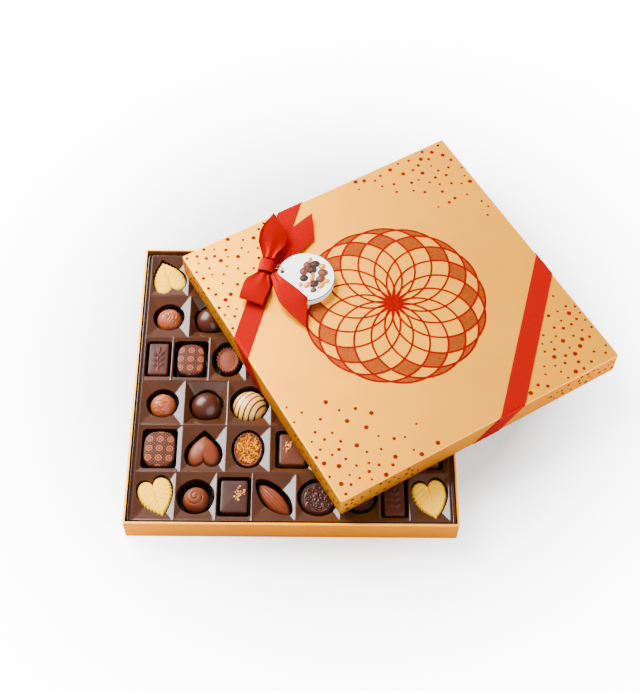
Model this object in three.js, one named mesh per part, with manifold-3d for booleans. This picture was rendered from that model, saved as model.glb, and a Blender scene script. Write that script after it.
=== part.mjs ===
// An open gift box of pralines: a square tray with a thermoformed insert and its pralines, and the
// loose lid lying askew on the tray, tied with a ribbon, a bow and a round tag. Millimetres, +Z up,
// +X right, +Y back, origin on the floor under the middle of the tray.
import * as THREE from 'three';
import { mergeVertices } from 'three/addons/utils/BufferGeometryUtils.js';
import Module from 'manifold-3d';

const wasm = await Module();
wasm.setup();

// Driving dimensions
const GAP = 0.3;
const TRAY_SIDE = 300;
const TRAY_HEIGHT = 27.3;
const BOARD = 2;
const LID_SIDE = 304;
const LID_HEIGHT = 25.2;
const LID_CENTRE = [97.7, 67.9];
const LID_TURN = THREE.MathUtils.degToRad(30.36);
const RIBBON_THICKNESS = 0.45;
const BAND_WIDTH = 19;
const BAND_FROM_CORNER = 121;
const LID_BASE = TRAY_HEIGHT + 2 * GAP + RIBBON_THICKNESS;

// The insert: rims, rows and the two kinds of column spacing
const INSERT_SIDE = 294.8;
const INSERT_CORNER = 4;
const INSERT_BASE = BOARD + GAP;
const RIDGE_HEIGHT = 23.5;
const RIDGE_WIDTH = 1.2;
const RIM_GROOVE = 1.5;
const POCKET_FLOOR = 4;
const FIELD_WIDTH = 285.5;
const FIELD_DEPTH = 289;
const ROW_COUNT = 6;
const PRALINE_BASE = POCKET_FLOOR + GAP;

// Heights over the lid's top face
const KNOT_TOP = 10;
const TAG_BASE = 0.4;
const TAG_LEAVES = 7.4;
const TAG_COVER = 1;
const TAG_RADIUS = 28;
const TAG_CENTRE = [-61.8, 66.2];
const TAG_HOLE = [-78.6, 82.0];
const TAG_HOLE_RADIUS = 2;
const THREAD_DIAMETER = 1;

const ZERO = new THREE.Vector3();

// Materials, one for each look
function finish(color, roughness, metalness = 0) {
  return new THREE.MeshStandardMaterial({ color, roughness, metalness });
}
const looks = {
  gold: finish(0xe3b878, 0.38, 0.35),
  plastic: finish(0x4a2615, 0.22),
  satin: finish(0xf22a24, 0.45),
  card: finish(0xf2efec, 0.5),
  thread: finish(0xb58a3c, 0.4, 0.4),
  ivory: finish(0xefd98f, 0.4),
  milk: finish(0xa5603a, 0.38),
  dark: finish(0x4a231a, 0.32),
};

// Solids in and out of the boolean library
function toSolid(geometry) {
  const bare = geometry.clone();
  bare.deleteAttribute('normal');
  bare.deleteAttribute('uv');
  const merged = mergeVertices(bare, 1e-4);
  const used = [];
  const index = merged.index.array;
  for (let k = 0; k < index.length; k += 3) {
    const [a, b, c] = [index[k], index[k + 1], index[k + 2]];
    if (a !== b && b !== c && c !== a) used.push(a, b, c);
  }
  return new wasm.Manifold(new wasm.Mesh({
    numProp: 3,
    vertProperties: new Float32Array(merged.attributes.position.array),
    triVerts: new Uint32Array(used),
  }));
}

function toGeometry(solid) {
  const mesh = solid.getMesh();
  const geometry = new THREE.BufferGeometry();
  geometry.setAttribute('position', new THREE.BufferAttribute(new Float32Array(mesh.vertProperties), 3));
  geometry.setIndex(new THREE.BufferAttribute(new Uint32Array(mesh.triVerts), 1));
  return geometry;
}

// Closed outlines, counterclockwise, as lists of points
function polar(count, radius) {
  return Array.from({ length: count }, (unused, k) => {
    const angle = (2 * Math.PI * k) / count;
    const reach = radius(angle, k);
    return new THREE.Vector2(reach * Math.cos(angle), reach * Math.sin(angle));
  });
}

function oval(width, depth, count) {
  return polar(count, () => 1).map((p) => new THREE.Vector2(p.x * width / 2, p.y * depth / 2));
}

function fluted(width, depth, count, ripple) {
  return polar(count, (angle, k) => (k % 2 ? 1 - ripple : 1))
    .map((p) => new THREE.Vector2(p.x * width / 2, p.y * depth / 2));
}

function barrel(width, depth, count, power) {
  const corner = (value, half) => Math.sign(value) * half * Math.abs(value) ** (2 / power);
  return polar(count, () => 1).map((p) => new THREE.Vector2(corner(p.x, width / 2), corner(p.y, depth / 2)));
}

function roundedRectangle(width, depth, radius, arcSteps) {
  const points = [];
  for (let quarter = 0; quarter < 4; quarter += 1) {
    const sideX = quarter === 0 || quarter === 3 ? 1 : -1;
    const sideY = quarter < 2 ? 1 : -1;
    for (let step = 0; step <= arcSteps; step += 1) {
      const angle = (Math.PI / 2) * (quarter + step / arcSteps);
      points.push(new THREE.Vector2(
        sideX * (width / 2 - radius) + radius * Math.cos(angle),
        sideY * (depth / 2 - radius) + radius * Math.sin(angle),
      ));
    }
  }
  return points;
}

// A heart with its tip at +Y. Two curves run from the tip round a lobe into the notch.
function heart(width, depth, count) {
  const half = new THREE.CurvePath();
  const tip = new THREE.Vector2(0, depth * 0.52);
  const flank = new THREE.Vector2(-width / 2, -depth * 0.16);
  const notch = new THREE.Vector2(0, -depth * 0.33);
  half.add(new THREE.CubicBezierCurve(
    tip,
    new THREE.Vector2(-width * 0.18, depth * 0.4),
    new THREE.Vector2(-width / 2, depth * 0.14),
    flank,
  ));
  half.add(new THREE.CubicBezierCurve(
    flank,
    new THREE.Vector2(-width / 2, -depth * 0.5),
    new THREE.Vector2(-width * 0.12, -depth * 0.6),
    notch,
  ));
  const left = half.getSpacedPoints(count / 2);
  const right = left.slice(1, -1).reverse().map((p) => new THREE.Vector2(-p.x, p.y));
  return left.concat(right);
}

function lens(width, depth, count) {
  return Array.from({ length: count }, (unused, k) => {
    const along = (2 * Math.PI * k) / count;
    const bulge = Math.sign(Math.cos(along)) * Math.abs(Math.cos(along)) ** 1.35;
    return new THREE.Vector2((width / 2) * bulge, (depth / 2) * Math.sin(along));
  });
}

function scaled(outline, factor) {
  return outline.map((p) => p.clone().multiplyScalar(factor));
}

function turned(outline, angle) {
  return outline.map((p) => p.clone().rotateAround(new THREE.Vector2(), angle));
}

// A closed form whose level sections are scaled copies of one outline: rings are [scale, height],
// from a point on the axis below to a point on the axis above.
function loft(outline, rings) {
  const profile = rings.map(([scale, height]) => new THREE.Vector2(scale, height));
  const geometry = new THREE.LatheGeometry(profile, outline.length);
  const position = geometry.attributes.position;
  for (let k = 0; k < position.count; k += 1) {
    const point = outline[Math.floor(k / rings.length) % outline.length];
    const [scale, height] = rings[k % rings.length];
    position.setXYZ(k, point.x * scale, point.y * scale, height);
  }
  return geometry;
}

function prism(outline, low, high) {
  const geometry = new THREE.ExtrudeGeometry(new THREE.Shape(outline), {
    depth: high - low,
    bevelEnabled: false,
  });
  geometry.translate(0, 0, low);
  return geometry;
}

// An upright square block with rounded corners and softened top and bottom edges
function softBlock(side, height, corner, edge, edgeSteps) {
  const geometry = new THREE.ExtrudeGeometry(new THREE.Shape(roundedRectangle(side, side, corner, 3)), {
    depth: height - 2 * edge,
    bevelThickness: edge,
    bevelSize: edge,
    bevelOffset: -edge,
    bevelSegments: edgeSteps,
  });
  geometry.translate(0, 0, edge);
  return geometry;
}

// A strip of ribbon through stations, each with its centre and the vector from there to its edge
function strip(stations, thickness) {
  const steps = stations.length - 1;
  const geometry = new THREE.BoxGeometry(1, 1, 1, steps, 1, 1);
  const position = geometry.attributes.position;
  for (let k = 0; k < position.count; k += 1) {
    const step = Math.round((position.getX(k) + 0.5) * steps);
    const here = stations[step];
    const before = stations[Math.max(step - 1, 0)];
    const after = stations[Math.min(step + 1, steps)];
    const along = after.centre.clone().sub(before.centre);
    const up = along.cross(here.edge).normalize();
    const point = here.centre.clone()
      .addScaledVector(here.edge, 2 * position.getY(k))
      .addScaledVector(up, thickness * position.getZ(k));
    position.setXYZ(k, point.x, point.y, point.z);
  }
  return geometry;
}

function station(x, y, z, edgeX, edgeY, edgeZ) {
  return { centre: new THREE.Vector3(x, y, z), edge: new THREE.Vector3(edgeX, edgeY, edgeZ) };
}

// Draws that are the same on every run
function seeded(seed) {
  let state = seed;
  return () => {
    state = (state * 1103515245 + 12345) % 2147483648;
    return state / 2147483648;
  };
}

// Small chunks set into a top face, over an ellipse given by its centre and half sizes
function withChunks(body, { count, seed, size, centre, reach, height }) {
  const draw = seeded(seed);
  let solid = toSolid(body);
  for (let k = 0; k < count; k += 1) {
    const turn = k * 2.4;
    const out = Math.sqrt((k + 0.5) / count);
    const chunk = new THREE.OctahedronGeometry(size * (0.8 + 0.4 * draw()));
    chunk.rotateX(draw() * 3);
    chunk.rotateY(draw() * 3);
    chunk.translate(
      centre[0] + reach[0] * out * Math.cos(turn),
      centre[1] + reach[1] * out * Math.sin(turn),
      height,
    );
    solid = solid.add(toSolid(chunk));
  }
  return toGeometry(solid);
}

// The pralines. Each kind gives its pocket's outline, how deep the funnel over it goes, how far that
// funnel narrows beside the pocket, and its body, which stands on its own origin. A kind that leans
// has a swing: it sits aside by that length times the sine of its turn, so that it stays in its cell.
const ROUND = 13;

function block(width, depth, height) {
  return loft(roundedRectangle(width, depth, 2.4, 2), [
    [0, 0], [0.95, 0], [1, 1.5], [1, height - 1.8], [0.955, height - 0.4], [0, height],
  ]);
}

function ball(width, height, count) {
  const widest = height * 0.42;
  const rings = [[0, 0], [0.66, 0]];
  const steps = 4;
  for (let step = 0; step <= steps; step += 1) {
    const angle = (step / steps) * (Math.PI / 2);
    rings.push([Math.cos(angle), widest + (height - widest) * Math.sin(angle)]);
  }
  rings[rings.length - 1][0] = 0;
  return loft(oval(width, width, count), rings);
}

function cup(outline, height, filling) {
  return loft(outline, [
    [0, 0], [0.76, 0], [1, height], [0.88, height], [0.85, filling], [0, filling],
  ]);
}

const kinds = {
  leaf: {
    look: 'ivory',
    funnel: 2.2,
    narrowing: 0.75,
    pocket: scaled(heart(32.5, 39, 20), 1.05),
    swing: 6.4,
    body: () => loft(heart(32.5, 39, 20), [
      [0, 0], [0.86, 0], [1, 11], [0.96, 15.4], [0.8, 16.5], [0, 17],
    ]),
  },
  swirl_dome: {
    look: 'milk',
    funnel: 3,
    narrowing: 0.72,
    pocket: oval(35, 35, ROUND),
    body: () => loft(oval(24.4, 24.4, ROUND), [
      [0, 0], [0.9, 0], [1, 7], [0.95, 12], [0.8, 16], [0.5, 18.8], [0, 20],
    ]),
  },
  nut_block: {
    look: 'dark',
    funnel: 1.6,
    narrowing: 0.95,
    pocket: roundedRectangle(30.6, 39.6, 3.5, 2),
    body: () => withChunks(block(24.5, 32, 19), {
      count: 7, seed: 3, size: 1.5, centre: [5.5, 4], reach: [6, 7], height: 19,
    }),
  },
  almond: {
    look: 'milk',
    funnel: 2.6,
    narrowing: 0.75,
    pocket: lens(23, 47, 14),
    body: () => loft(lens(16.5, 44, 14), [
      [0, 0], [0.7, 0], [0.96, 5], [1, 9], [0.82, 13.5], [0.42, 16.6], [0, 17.6],
    ]),
  },
  floral_disc: {
    look: 'dark',
    funnel: 2,
    narrowing: 0.75,
    pocket: oval(38, 38, 16),
    body: () => loft(oval(32.4, 32.4, 18), [
      [0, 0], [0.95, 0], [1, 3], [1, 14.6], [0.9, 17.2], [0, 18],
    ]),
  },
  fluted_cup: {
    look: 'dark',
    funnel: 2.4,
    narrowing: 0.75,
    pocket: oval(32, 32, ROUND),
    body: () => cup(fluted(26.5, 26.5, 20, 0.07), 18.5, 17),
  },
  oval_cup: {
    look: 'milk',
    funnel: 2.2,
    narrowing: 0.8,
    pocket: oval(31, 39.5, ROUND),
    body: () => cup(fluted(22.5, 29.5, 20, 0.07), 17.5, 16),
  },
  nugget_tart: {
    look: 'milk',
    funnel: 2.2,
    narrowing: 0.8,
    pocket: oval(31, 40, ROUND),
    body: () => withChunks(cup(fluted(26.5, 36, 20, 0.06), 18, 16.6), {
      count: 8, seed: 9, size: 2.3, centre: [0, 0], reach: [9, 13], height: 17.4,
    }),
  },
  relief_bar: {
    look: 'dark',
    funnel: 1.6,
    narrowing: 0.95,
    pocket: roundedRectangle(24.6, 40, 3, 2),
    body: () => block(18.6, 35, 18.5),
  },
  print_barrel: {
    look: 'milk',
    funnel: 1.6,
    narrowing: 0.95,
    pocket: roundedRectangle(33, 41.2, 3.5, 2),
    body: () => loft(barrel(29.5, 36.6, 20, 3), [
      [0, 0], [0.93, 0], [1, 2.5], [1, 16.4], [0.95, 18], [0, 18.6],
    ]),
  },
  narrow_barrel: {
    look: 'milk',
    funnel: 1.6,
    narrowing: 0.95,
    pocket: roundedRectangle(33, 41.2, 3.5, 2),
    body: () => loft(barrel(26, 34.5, 20, 3), [
      [0, 0], [0.93, 0], [1, 2.5], [1, 16.4], [0.95, 18], [0, 18.6],
    ]),
  },
  heart: {
    look: 'milk',
    funnel: 3,
    narrowing: 0.72,
    pocket: scaled(heart(32, 34, 18), 1.12),
    body: () => loft(heart(31.5, 33.5, 18), [
      [0, 0], [0.82, 0], [0.96, 4], [1, 8], [0.9, 14], [0.66, 17.8], [0, 19.6],
    ]),
  },
  crumb_block: {
    look: 'milk',
    funnel: 2,
    narrowing: 0.95,
    pocket: roundedRectangle(31.4, 39.4, 3.5, 2),
    body: () => withChunks(block(24, 31.5, 19), {
      count: 7, seed: 5, size: 1.5, centre: [-3, 3.5], reach: [6, 7.5], height: 19,
    }),
  },
  truffle: {
    look: 'milk',
    funnel: 3,
    narrowing: 0.72,
    pocket: oval(31, 31, ROUND),
    body: () => ball(24.8, 20.4, ROUND),
  },
  dark_ball: {
    look: 'dark',
    funnel: 8,
    narrowing: 0.72,
    pocket: oval(33, 33, ROUND),
    body: () => ball(28.8, 22, ROUND),
  },
  ivory_ball: {
    look: 'ivory',
    funnel: 2.4,
    narrowing: 0.72,
    pocket: oval(38.2, 38.2, 16),
    body: () => ball(32.4, 21.6, 16),
  },
};

const TIP_BACK = 0;
const TIP_FRONT = Math.PI;
const LEAF_LEAN = THREE.MathUtils.degToRad(20);
const SLIGHT_LEAN = THREE.MathUtils.degToRad(12);
const ALMOND_LEAN = THREE.MathUtils.degToRad(43);

// Rows from front to back: the width of each cell, and what lies in it with its turn
const EVEN_CELLS = Array(7).fill(FIELD_WIDTH / 7);
const MIXED_CELLS = [37.5, 37, 32.5, 39.5, 40, 35, 27.5, 36.5];
const SLENDER_CELLS = [26.5, 35.5, 35.5, 37, 39, 36, 39, 37];
const rows = [
  {
    cells: MIXED_CELLS,
    pralines: [
      ['leaf', TIP_FRONT + LEAF_LEAN], ['swirl_dome', 0], ['nut_block', 0], ['almond', ALMOND_LEAN],
      ['floral_disc', 0], ['fluted_cup', 0], ['relief_bar', 0], ['leaf', TIP_FRONT + SLIGHT_LEAN],
    ],
  },
  {
    cells: EVEN_CELLS,
    pralines: [
      ['print_barrel', 0], ['heart', TIP_BACK], ['nugget_tart', 0], ['crumb_block', 0],
      ['nugget_tart', 0], ['heart', TIP_BACK], ['crumb_block', 0],
    ],
  },
  {
    cells: EVEN_CELLS,
    pralines: [
      ['truffle', 0], ['dark_ball', 0], ['ivory_ball', 0], ['swirl_dome', 0],
      ['ivory_ball', 0], ['dark_ball', 0], ['truffle', 0],
    ],
  },
  {
    cells: SLENDER_CELLS,
    pralines: [
      ['relief_bar', 0], ['narrow_barrel', 0], ['oval_cup', 0], ['swirl_dome', 0],
      ['floral_disc', 0], ['fluted_cup', 0], ['almond', ALMOND_LEAN], ['heart', TIP_BACK],
    ],
  },
  {
    cells: EVEN_CELLS,
    pralines: [
      ['truffle', Math.PI / 2], ['dark_ball', 0], ['nugget_tart', 0], ['heart', TIP_BACK],
      ['nugget_tart', 0], ['dark_ball', 0], ['truffle', Math.PI / 2],
    ],
  },
  {
    cells: MIXED_CELLS,
    pralines: [
      ['leaf', TIP_BACK + LEAF_LEAN], ['swirl_dome', 0], ['nut_block', 0], ['almond', ALMOND_LEAN],
      ['floral_disc', 0], ['fluted_cup', 0], ['relief_bar', 0], ['leaf', TIP_BACK + SLIGHT_LEAN],
    ],
  },
];

// Every cell of the insert with its place, its size and its praline
function listCells() {
  const pitch = FIELD_DEPTH / ROW_COUNT;
  return rows.flatMap(({ cells, pralines }, row) => {
    let left = -FIELD_WIDTH / 2;
    return cells.map((width, column) => {
      const [kind, turn] = pralines[column];
      const cell = {
        name: `${kind}_r${row + 1}c${column + 1}`,
        kind: kinds[kind],
        turn,
        width,
        depth: pitch,
        x: left + width / 2,
        y: -FIELD_DEPTH / 2 + (row + 0.5) * pitch,
      };
      cell.seat = cell.x - (cell.kind.swing ?? 0) * Math.sin(turn);
      left += width;
      return cell;
    });
  });
}

// The funnel of a cell: four facets from the ridges down to a smaller rectangle
function funnel(cell) {
  const box = new THREE.Box2().setFromPoints(turned(cell.kind.pocket, cell.turn));
  const mouth = box.getSize(new THREE.Vector2()).multiplyScalar(cell.kind.narrowing);
  const top = [cell.width - RIDGE_WIDTH, cell.depth - RIDGE_WIDTH];
  const over = 1;
  const rise = (cell.kind.funnel + over) / cell.kind.funnel;
  const geometry = new THREE.BoxGeometry(1, 1, 1);
  const position = geometry.attributes.position;
  for (let k = 0; k < position.count; k += 1) {
    const high = position.getZ(k) > 0;
    const width = high ? mouth.x + (top[0] - mouth.x) * rise : mouth.x;
    const depth = high ? mouth.y + (top[1] - mouth.y) * rise : mouth.y;
    position.setXYZ(
      k,
      cell.x + position.getX(k) * width,
      cell.y + position.getY(k) * depth,
      high ? RIDGE_HEIGHT + over : RIDGE_HEIGHT - cell.kind.funnel,
    );
  }
  return toSolid(geometry);
}

function pocket(cell) {
  const geometry = prism(turned(cell.kind.pocket, cell.turn), POCKET_FLOOR, RIDGE_HEIGHT + 1);
  geometry.translate(cell.seat, cell.y, 0);
  return toSolid(geometry);
}

function insert(cells) {
  const half = INSERT_SIDE / 2;
  const grooveOuter = roundedRectangle(2 * half - 2.6, 2 * half - 1.4, INSERT_CORNER - 1, 2);
  const grooveInner = roundedRectangle(2 * half - 6.8, 2 * half - 4, INSERT_CORNER - 2, 2);
  const low = RIDGE_HEIGHT - RIM_GROOVE;
  const groove = toSolid(prism(grooveOuter, low, RIDGE_HEIGHT + 1))
    .subtract(toSolid(prism(grooveInner, low - 1, RIDGE_HEIGHT + 2)));
  const outline = roundedRectangle(INSERT_SIDE, INSERT_SIDE, INSERT_CORNER, 3);
  const body = toSolid(prism(outline, INSERT_BASE, RIDGE_HEIGHT)).subtract(groove);
  return cells.reduce((solid, cell) => solid.subtract(funnel(cell)).subtract(pocket(cell)), body);
}

function tray() {
  const outer = toSolid(softBlock(TRAY_SIDE, TRAY_HEIGHT, 2, 0.6, 1));
  const inside = roundedRectangle(TRAY_SIDE - 2 * BOARD, TRAY_SIDE - 2 * BOARD, 0.8, 2);
  return outer.subtract(toSolid(prism(inside, BOARD, TRAY_HEIGHT + 1)));
}

function lid() {
  const skirt = 5;
  const block = softBlock(LID_SIDE, LID_HEIGHT + skirt, 2, 1.2, 3);
  block.translate(0, 0, -skirt);
  const inside = roundedRectangle(LID_SIDE - 2 * BOARD, LID_SIDE - 2 * BOARD, 0.8, 2);
  const hollow = toSolid(prism(inside, -skirt - 1, LID_HEIGHT - BOARD));
  const below = new THREE.BoxGeometry(2 * LID_SIDE, 2 * LID_SIDE, 2 * skirt);
  below.translate(0, 0, -skirt);
  return toSolid(block).subtract(hollow).subtract(toSolid(below));
}

// The ribbon round the lid is one closed loop of flat lengths. It crosses two opposite corners on
// top and the other two underneath, always at 45 degrees to the edges that it folds over.
function ribbonBand() {
  const edge = LID_SIDE / 2 + GAP + RIBBON_THICKNESS;
  const top = LID_HEIGHT + GAP + RIBBON_THICKNESS;
  const bottom = -GAP - RIBBON_THICKNESS;
  const offset = LID_SIDE - BAND_FROM_CORNER;
  const half = BAND_WIDTH / Math.SQRT2;
  const points = (list) => list.map(([x, y]) => new THREE.Vector2(x, y));
  const acrossTop = prism(points([
    [-edge, offset - edge - half],
    [edge - offset + half, edge],
    [edge - offset - half, edge],
    [-edge, offset - edge + half],
  ]), top - RIBBON_THICKNESS, top);
  const lower = 2 * edge + (top - bottom) - offset;
  const acrossBottom = prism(points([
    [-edge, edge - lower - half],
    [edge - lower - half, -edge],
    [edge - lower + half, -edge],
    [-edge, edge - lower + half],
  ]), bottom, bottom + RIBBON_THICKNESS);
  const start = offset - edge;
  const fall = top - bottom;
  const downWall = prism(points([
    [start - fall - half, bottom],
    [start - fall + half, bottom],
    [start + half, top],
    [start - half, top],
  ]), 0, RIBBON_THICKNESS);
  const leftWall = downWall.clone().rotateX(Math.PI / 2).rotateZ(Math.PI / 2);
  leftWall.translate(-edge, 0, 0);
  const frontWall = downWall.clone().rotateX(Math.PI / 2);
  frontWall.translate(0, -edge + RIBBON_THICKNESS, 0);
  const halfLoop = [acrossTop, acrossBottom, leftWall, frontWall].map(toSolid);
  const otherHalf = [acrossTop, acrossBottom, leftWall, frontWall]
    .map((geometry) => toSolid(geometry.clone().rotateZ(Math.PI)));
  return halfLoop.concat(otherHalf).reduce((solid, piece) => solid.add(piece));
}

// A loop of the bow, from the knot out along its heading and back underneath. It widens from the
// knot, leans to one side, and its two layers stand apart most near the far fold.
function bowLoop({ start, heading, length, rise, lift, lean, width, gathered, tipWidth }) {
  const steps = 16;
  const along = new THREE.Vector3(Math.cos(heading), Math.sin(heading), 0);
  const across = new THREE.Vector3(-Math.sin(heading), Math.cos(heading), 0);
  const stations = [];
  for (let step = 0; step <= steps; step += 1) {
    const t = step / steps;
    const out = (1 - Math.cos(2 * Math.PI * t)) / 2;
    const apart = Math.sin(2 * Math.PI * t) * Math.sin(Math.PI * t) ** 0.6;
    const spread = THREE.MathUtils.smoothstep(out, 0, 0.45);
    const taper = THREE.MathUtils.smoothstep(out, 0.6, 1);
    const wide = (gathered + (width - gathered) * spread) * (1 - taper) + tipWidth * taper;
    const centre = new THREE.Vector3(start[0], start[1], start[2])
      .addScaledVector(along, length * out);
    centre.z += lift * out + rise * apart / 2 + (0.5 - t) * 2.4 * (1 - out);
    const tilt = lean * spread;
    const edge = across.clone().multiplyScalar(Math.cos(tilt) * wide / 2);
    edge.z = Math.sin(tilt) * wide / 2;
    stations.push({ centre, edge });
  }
  return strip(stations, RIBBON_THICKNESS);
}

const bow = {
  knot: { centre: [-88, 97], across: 16, along: 13.5, heading: Math.PI / 4 },
  upperLoop: {
    start: [-82.2, 103.2, 7.8],
    heading: THREE.MathUtils.degToRad(50),
    length: 48,
    rise: 6,
    lift: 5,
    lean: THREE.MathUtils.degToRad(16),
    width: 24,
    gathered: 11,
    tipWidth: 14,
  },
  lowerLoop: {
    start: [-94.2, 91.4, 5.4],
    heading: THREE.MathUtils.degToRad(221),
    length: 35,
    rise: 6.4,
    lift: 1,
    lean: THREE.MathUtils.degToRad(-6),
    width: 25,
    gathered: 12,
    tipWidth: 24,
  },
  upperTail: [
    station(-78.6, 99.6, 2.4, -2.2, 4.6, 0.2),
    station(-68, 104, 2.4, -3.4, 8.4, 0.2),
    station(-53, 109.6, 2.5, -3.6, 11.8, 0.2),
    station(-38, 115, 2.7, -3, 12.2, 0.6),
    station(-23, 118.6, 3, 7, 14, 1.2),
  ],
  lowerTail: [
    station(-87.2, 84.6, 9.2, -3.6, -0.4, 0),
    station(-88.6, 77, 11.2, -4.8, -1.2, -0.4),
    station(-89, 68, 11.8, -7.2, -1.4, -1.2),
    station(-87.6, 54.4, 10.6, -10.6, -1.4, -2),
    station(-85, 43.4, 9.2, -10.6, -3.2, -2.6),
    station(-80.9, 30.9, 6.8, -8, -12.4, -3.6),
  ],
};

function bowKnot() {
  const base = 2 * GAP + RIBBON_THICKNESS;
  const { centre, across, along, heading } = bow.knot;
  const geometry = loft(barrel(along, across, 16, 4), [
    [0, base], [0.8, base], [1, base + 2], [1, KNOT_TOP - 2.4], [0.82, KNOT_TOP - 0.5], [0, KNOT_TOP],
  ]);
  geometry.rotateZ(heading);
  geometry.translate(centre[0], centre[1], 0);
  return geometry;
}

function tagDisc(radius, low, high) {
  const shape = new THREE.Shape(oval(2 * radius, 2 * radius, 26));
  const hole = oval(2 * TAG_HOLE_RADIUS, 2 * TAG_HOLE_RADIUS, 8);
  const place = new THREE.Vector2(TAG_HOLE[0] - TAG_CENTRE[0], TAG_HOLE[1] - TAG_CENTRE[1]);
  shape.holes.push(new THREE.Path(hole.map((p) => p.add(place))));
  const geometry = new THREE.ExtrudeGeometry(shape, { depth: high - low, bevelEnabled: false });
  geometry.translate(TAG_CENTRE[0], TAG_CENTRE[1], low);
  return geometry;
}

// The elastic loop: from the knot over the tag, down its hole and back
const THREAD_ROUTE = [
  [-79.4, 91.8, 6.4], [-77.6, 89.4, 10.2], [-77.2, 85.4, 11], [-77.8, 82.6, 9.4], [-78, 82, 6],
  [-78.6, 81.6, 4.6], [-79.2, 82, 6], [-79.4, 82.7, 9.4], [-80.6, 85.2, 11], [-82, 88, 9.8],
  [-82.4, 90.4, 6.4],
];

function tagThread() {
  const route = new THREE.CatmullRomCurve3(THREAD_ROUTE.map((p) => new THREE.Vector3(...p)));
  const section = new THREE.Shape(oval(THREAD_DIAMETER, THREAD_DIAMETER, 8));
  return new THREE.ExtrudeGeometry(section, { steps: 18, bevelEnabled: false, extrudePath: route });
}

// The scene graph: the tray with its insert and pralines, and the turned lid with what is tied to it
const box = new THREE.Group();

function addMesh(parent, name, shape, look, place = ZERO) {
  const geometry = shape.isBufferGeometry ? shape : toGeometry(shape);
  const mesh = new THREE.Mesh(geometry, looks[look].clone());
  mesh.name = name;
  mesh.position.copy(place);
  parent.add(mesh);
  return mesh;
}

const cells = listCells();
addMesh(box, 'tray', tray(), 'gold');
addMesh(box, 'insert', insert(cells), 'plastic');
cells.forEach((cell) => {
  const place = new THREE.Vector3(cell.seat, cell.y, PRALINE_BASE);
  addMesh(box, cell.name, cell.kind.body(), cell.kind.look, place).rotation.z = cell.turn;
});

const lidGroup = new THREE.Group();
lidGroup.position.set(LID_CENTRE[0], LID_CENTRE[1], LID_BASE);
lidGroup.rotation.z = LID_TURN;
box.add(lidGroup);
addMesh(lidGroup, 'lid', lid(), 'gold');
addMesh(lidGroup, 'ribbon_band', ribbonBand(), 'satin');

const onTop = new THREE.Group();
onTop.position.z = LID_HEIGHT;
lidGroup.add(onTop);
addMesh(onTop, 'bow_knot', bowKnot(), 'satin');
addMesh(onTop, 'bow_loop_upper', bowLoop(bow.upperLoop), 'satin');
addMesh(onTop, 'bow_loop_lower', bowLoop(bow.lowerLoop), 'satin');
addMesh(onTop, 'bow_tail_upper', strip(bow.upperTail, RIBBON_THICKNESS), 'satin');
addMesh(onTop, 'bow_tail_lower', strip(bow.lowerTail, RIBBON_THICKNESS), 'satin');
addMesh(onTop, 'tag_leaves', tagDisc(TAG_RADIUS - 0.5, TAG_BASE, TAG_BASE + TAG_LEAVES), 'card');
const coverBase = TAG_BASE + TAG_LEAVES + GAP;
addMesh(onTop, 'tag_cover', tagDisc(TAG_RADIUS, coverBase, coverBase + TAG_COVER), 'card');
addMesh(onTop, 'tag_thread', tagThread(), 'thread');

export default box;
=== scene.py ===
"""The looks of an open gift box of pralines with its ribbon-tied lid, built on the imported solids."""
import math
import random

import bmesh
import bpy
import numpy as np
from mathutils import Matrix, Vector


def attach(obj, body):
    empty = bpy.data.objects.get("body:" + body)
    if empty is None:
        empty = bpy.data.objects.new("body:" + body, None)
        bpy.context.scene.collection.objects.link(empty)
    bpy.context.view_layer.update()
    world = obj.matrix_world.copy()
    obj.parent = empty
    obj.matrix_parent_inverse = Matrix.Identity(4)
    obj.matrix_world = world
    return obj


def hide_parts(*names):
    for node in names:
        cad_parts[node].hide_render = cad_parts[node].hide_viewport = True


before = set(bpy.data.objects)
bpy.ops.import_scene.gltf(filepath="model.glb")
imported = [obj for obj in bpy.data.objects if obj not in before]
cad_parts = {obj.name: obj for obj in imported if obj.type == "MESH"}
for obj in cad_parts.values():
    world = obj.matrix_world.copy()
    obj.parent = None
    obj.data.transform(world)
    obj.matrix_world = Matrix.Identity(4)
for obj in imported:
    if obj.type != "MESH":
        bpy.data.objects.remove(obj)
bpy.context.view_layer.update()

# Sizes in millimetres, as in the solids
MM = 0.001
LID_SIDE = 304
LID_HEIGHT = 25.2
LID_CENTRE = (97.7, 67.9)
LID_TURN = math.radians(30.36)
LID_BASE = 28.35
GAP = 0.3
RIBBON_THICKNESS = 0.45
BAND_WIDTH = 19
BAND_OFFSET = LID_SIDE - 121
INSERT_SIDE = 294.8
INSERT_CORNER = 4
INSERT_BASE = 2.3
RIDGE_HEIGHT = 23.5
RIDGE_WIDTH = 1.2
POCKET_FLOOR = 4
PRALINE_BASE = 4.3
FIELD_WIDTH = 285.5
FIELD_DEPTH = 289
TAG_RADIUS = 28
TAG_CENTRE = (-61.8, 66.2)
TAG_HOLE = (-78.6, 82.0)
TAG_BASE = 0.4
TAG_LEAVES = 7.4
TAG_COVER = 1.0
THREAD_DIAMETER = 1.0

# The photograph's camera: its place in millimetres, its turn in degrees and its lens
CAMERA_PLACE = (8.525, -630.146, 1100.67)
CAMERA_TURN = (31.882, -0.924, 0.049)
CAMERA_LENS = 68.46
SENSOR = 36

LID_FRAME = Matrix.Translation((*LID_CENTRE, LID_BASE)) @ Matrix.Rotation(LID_TURN, 4, "Z")
LID_TOP_FRAME = LID_FRAME @ Matrix.Translation((0, 0, LID_HEIGHT))


# Materials

GRAIN_DEPTH = 0.0002


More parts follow.
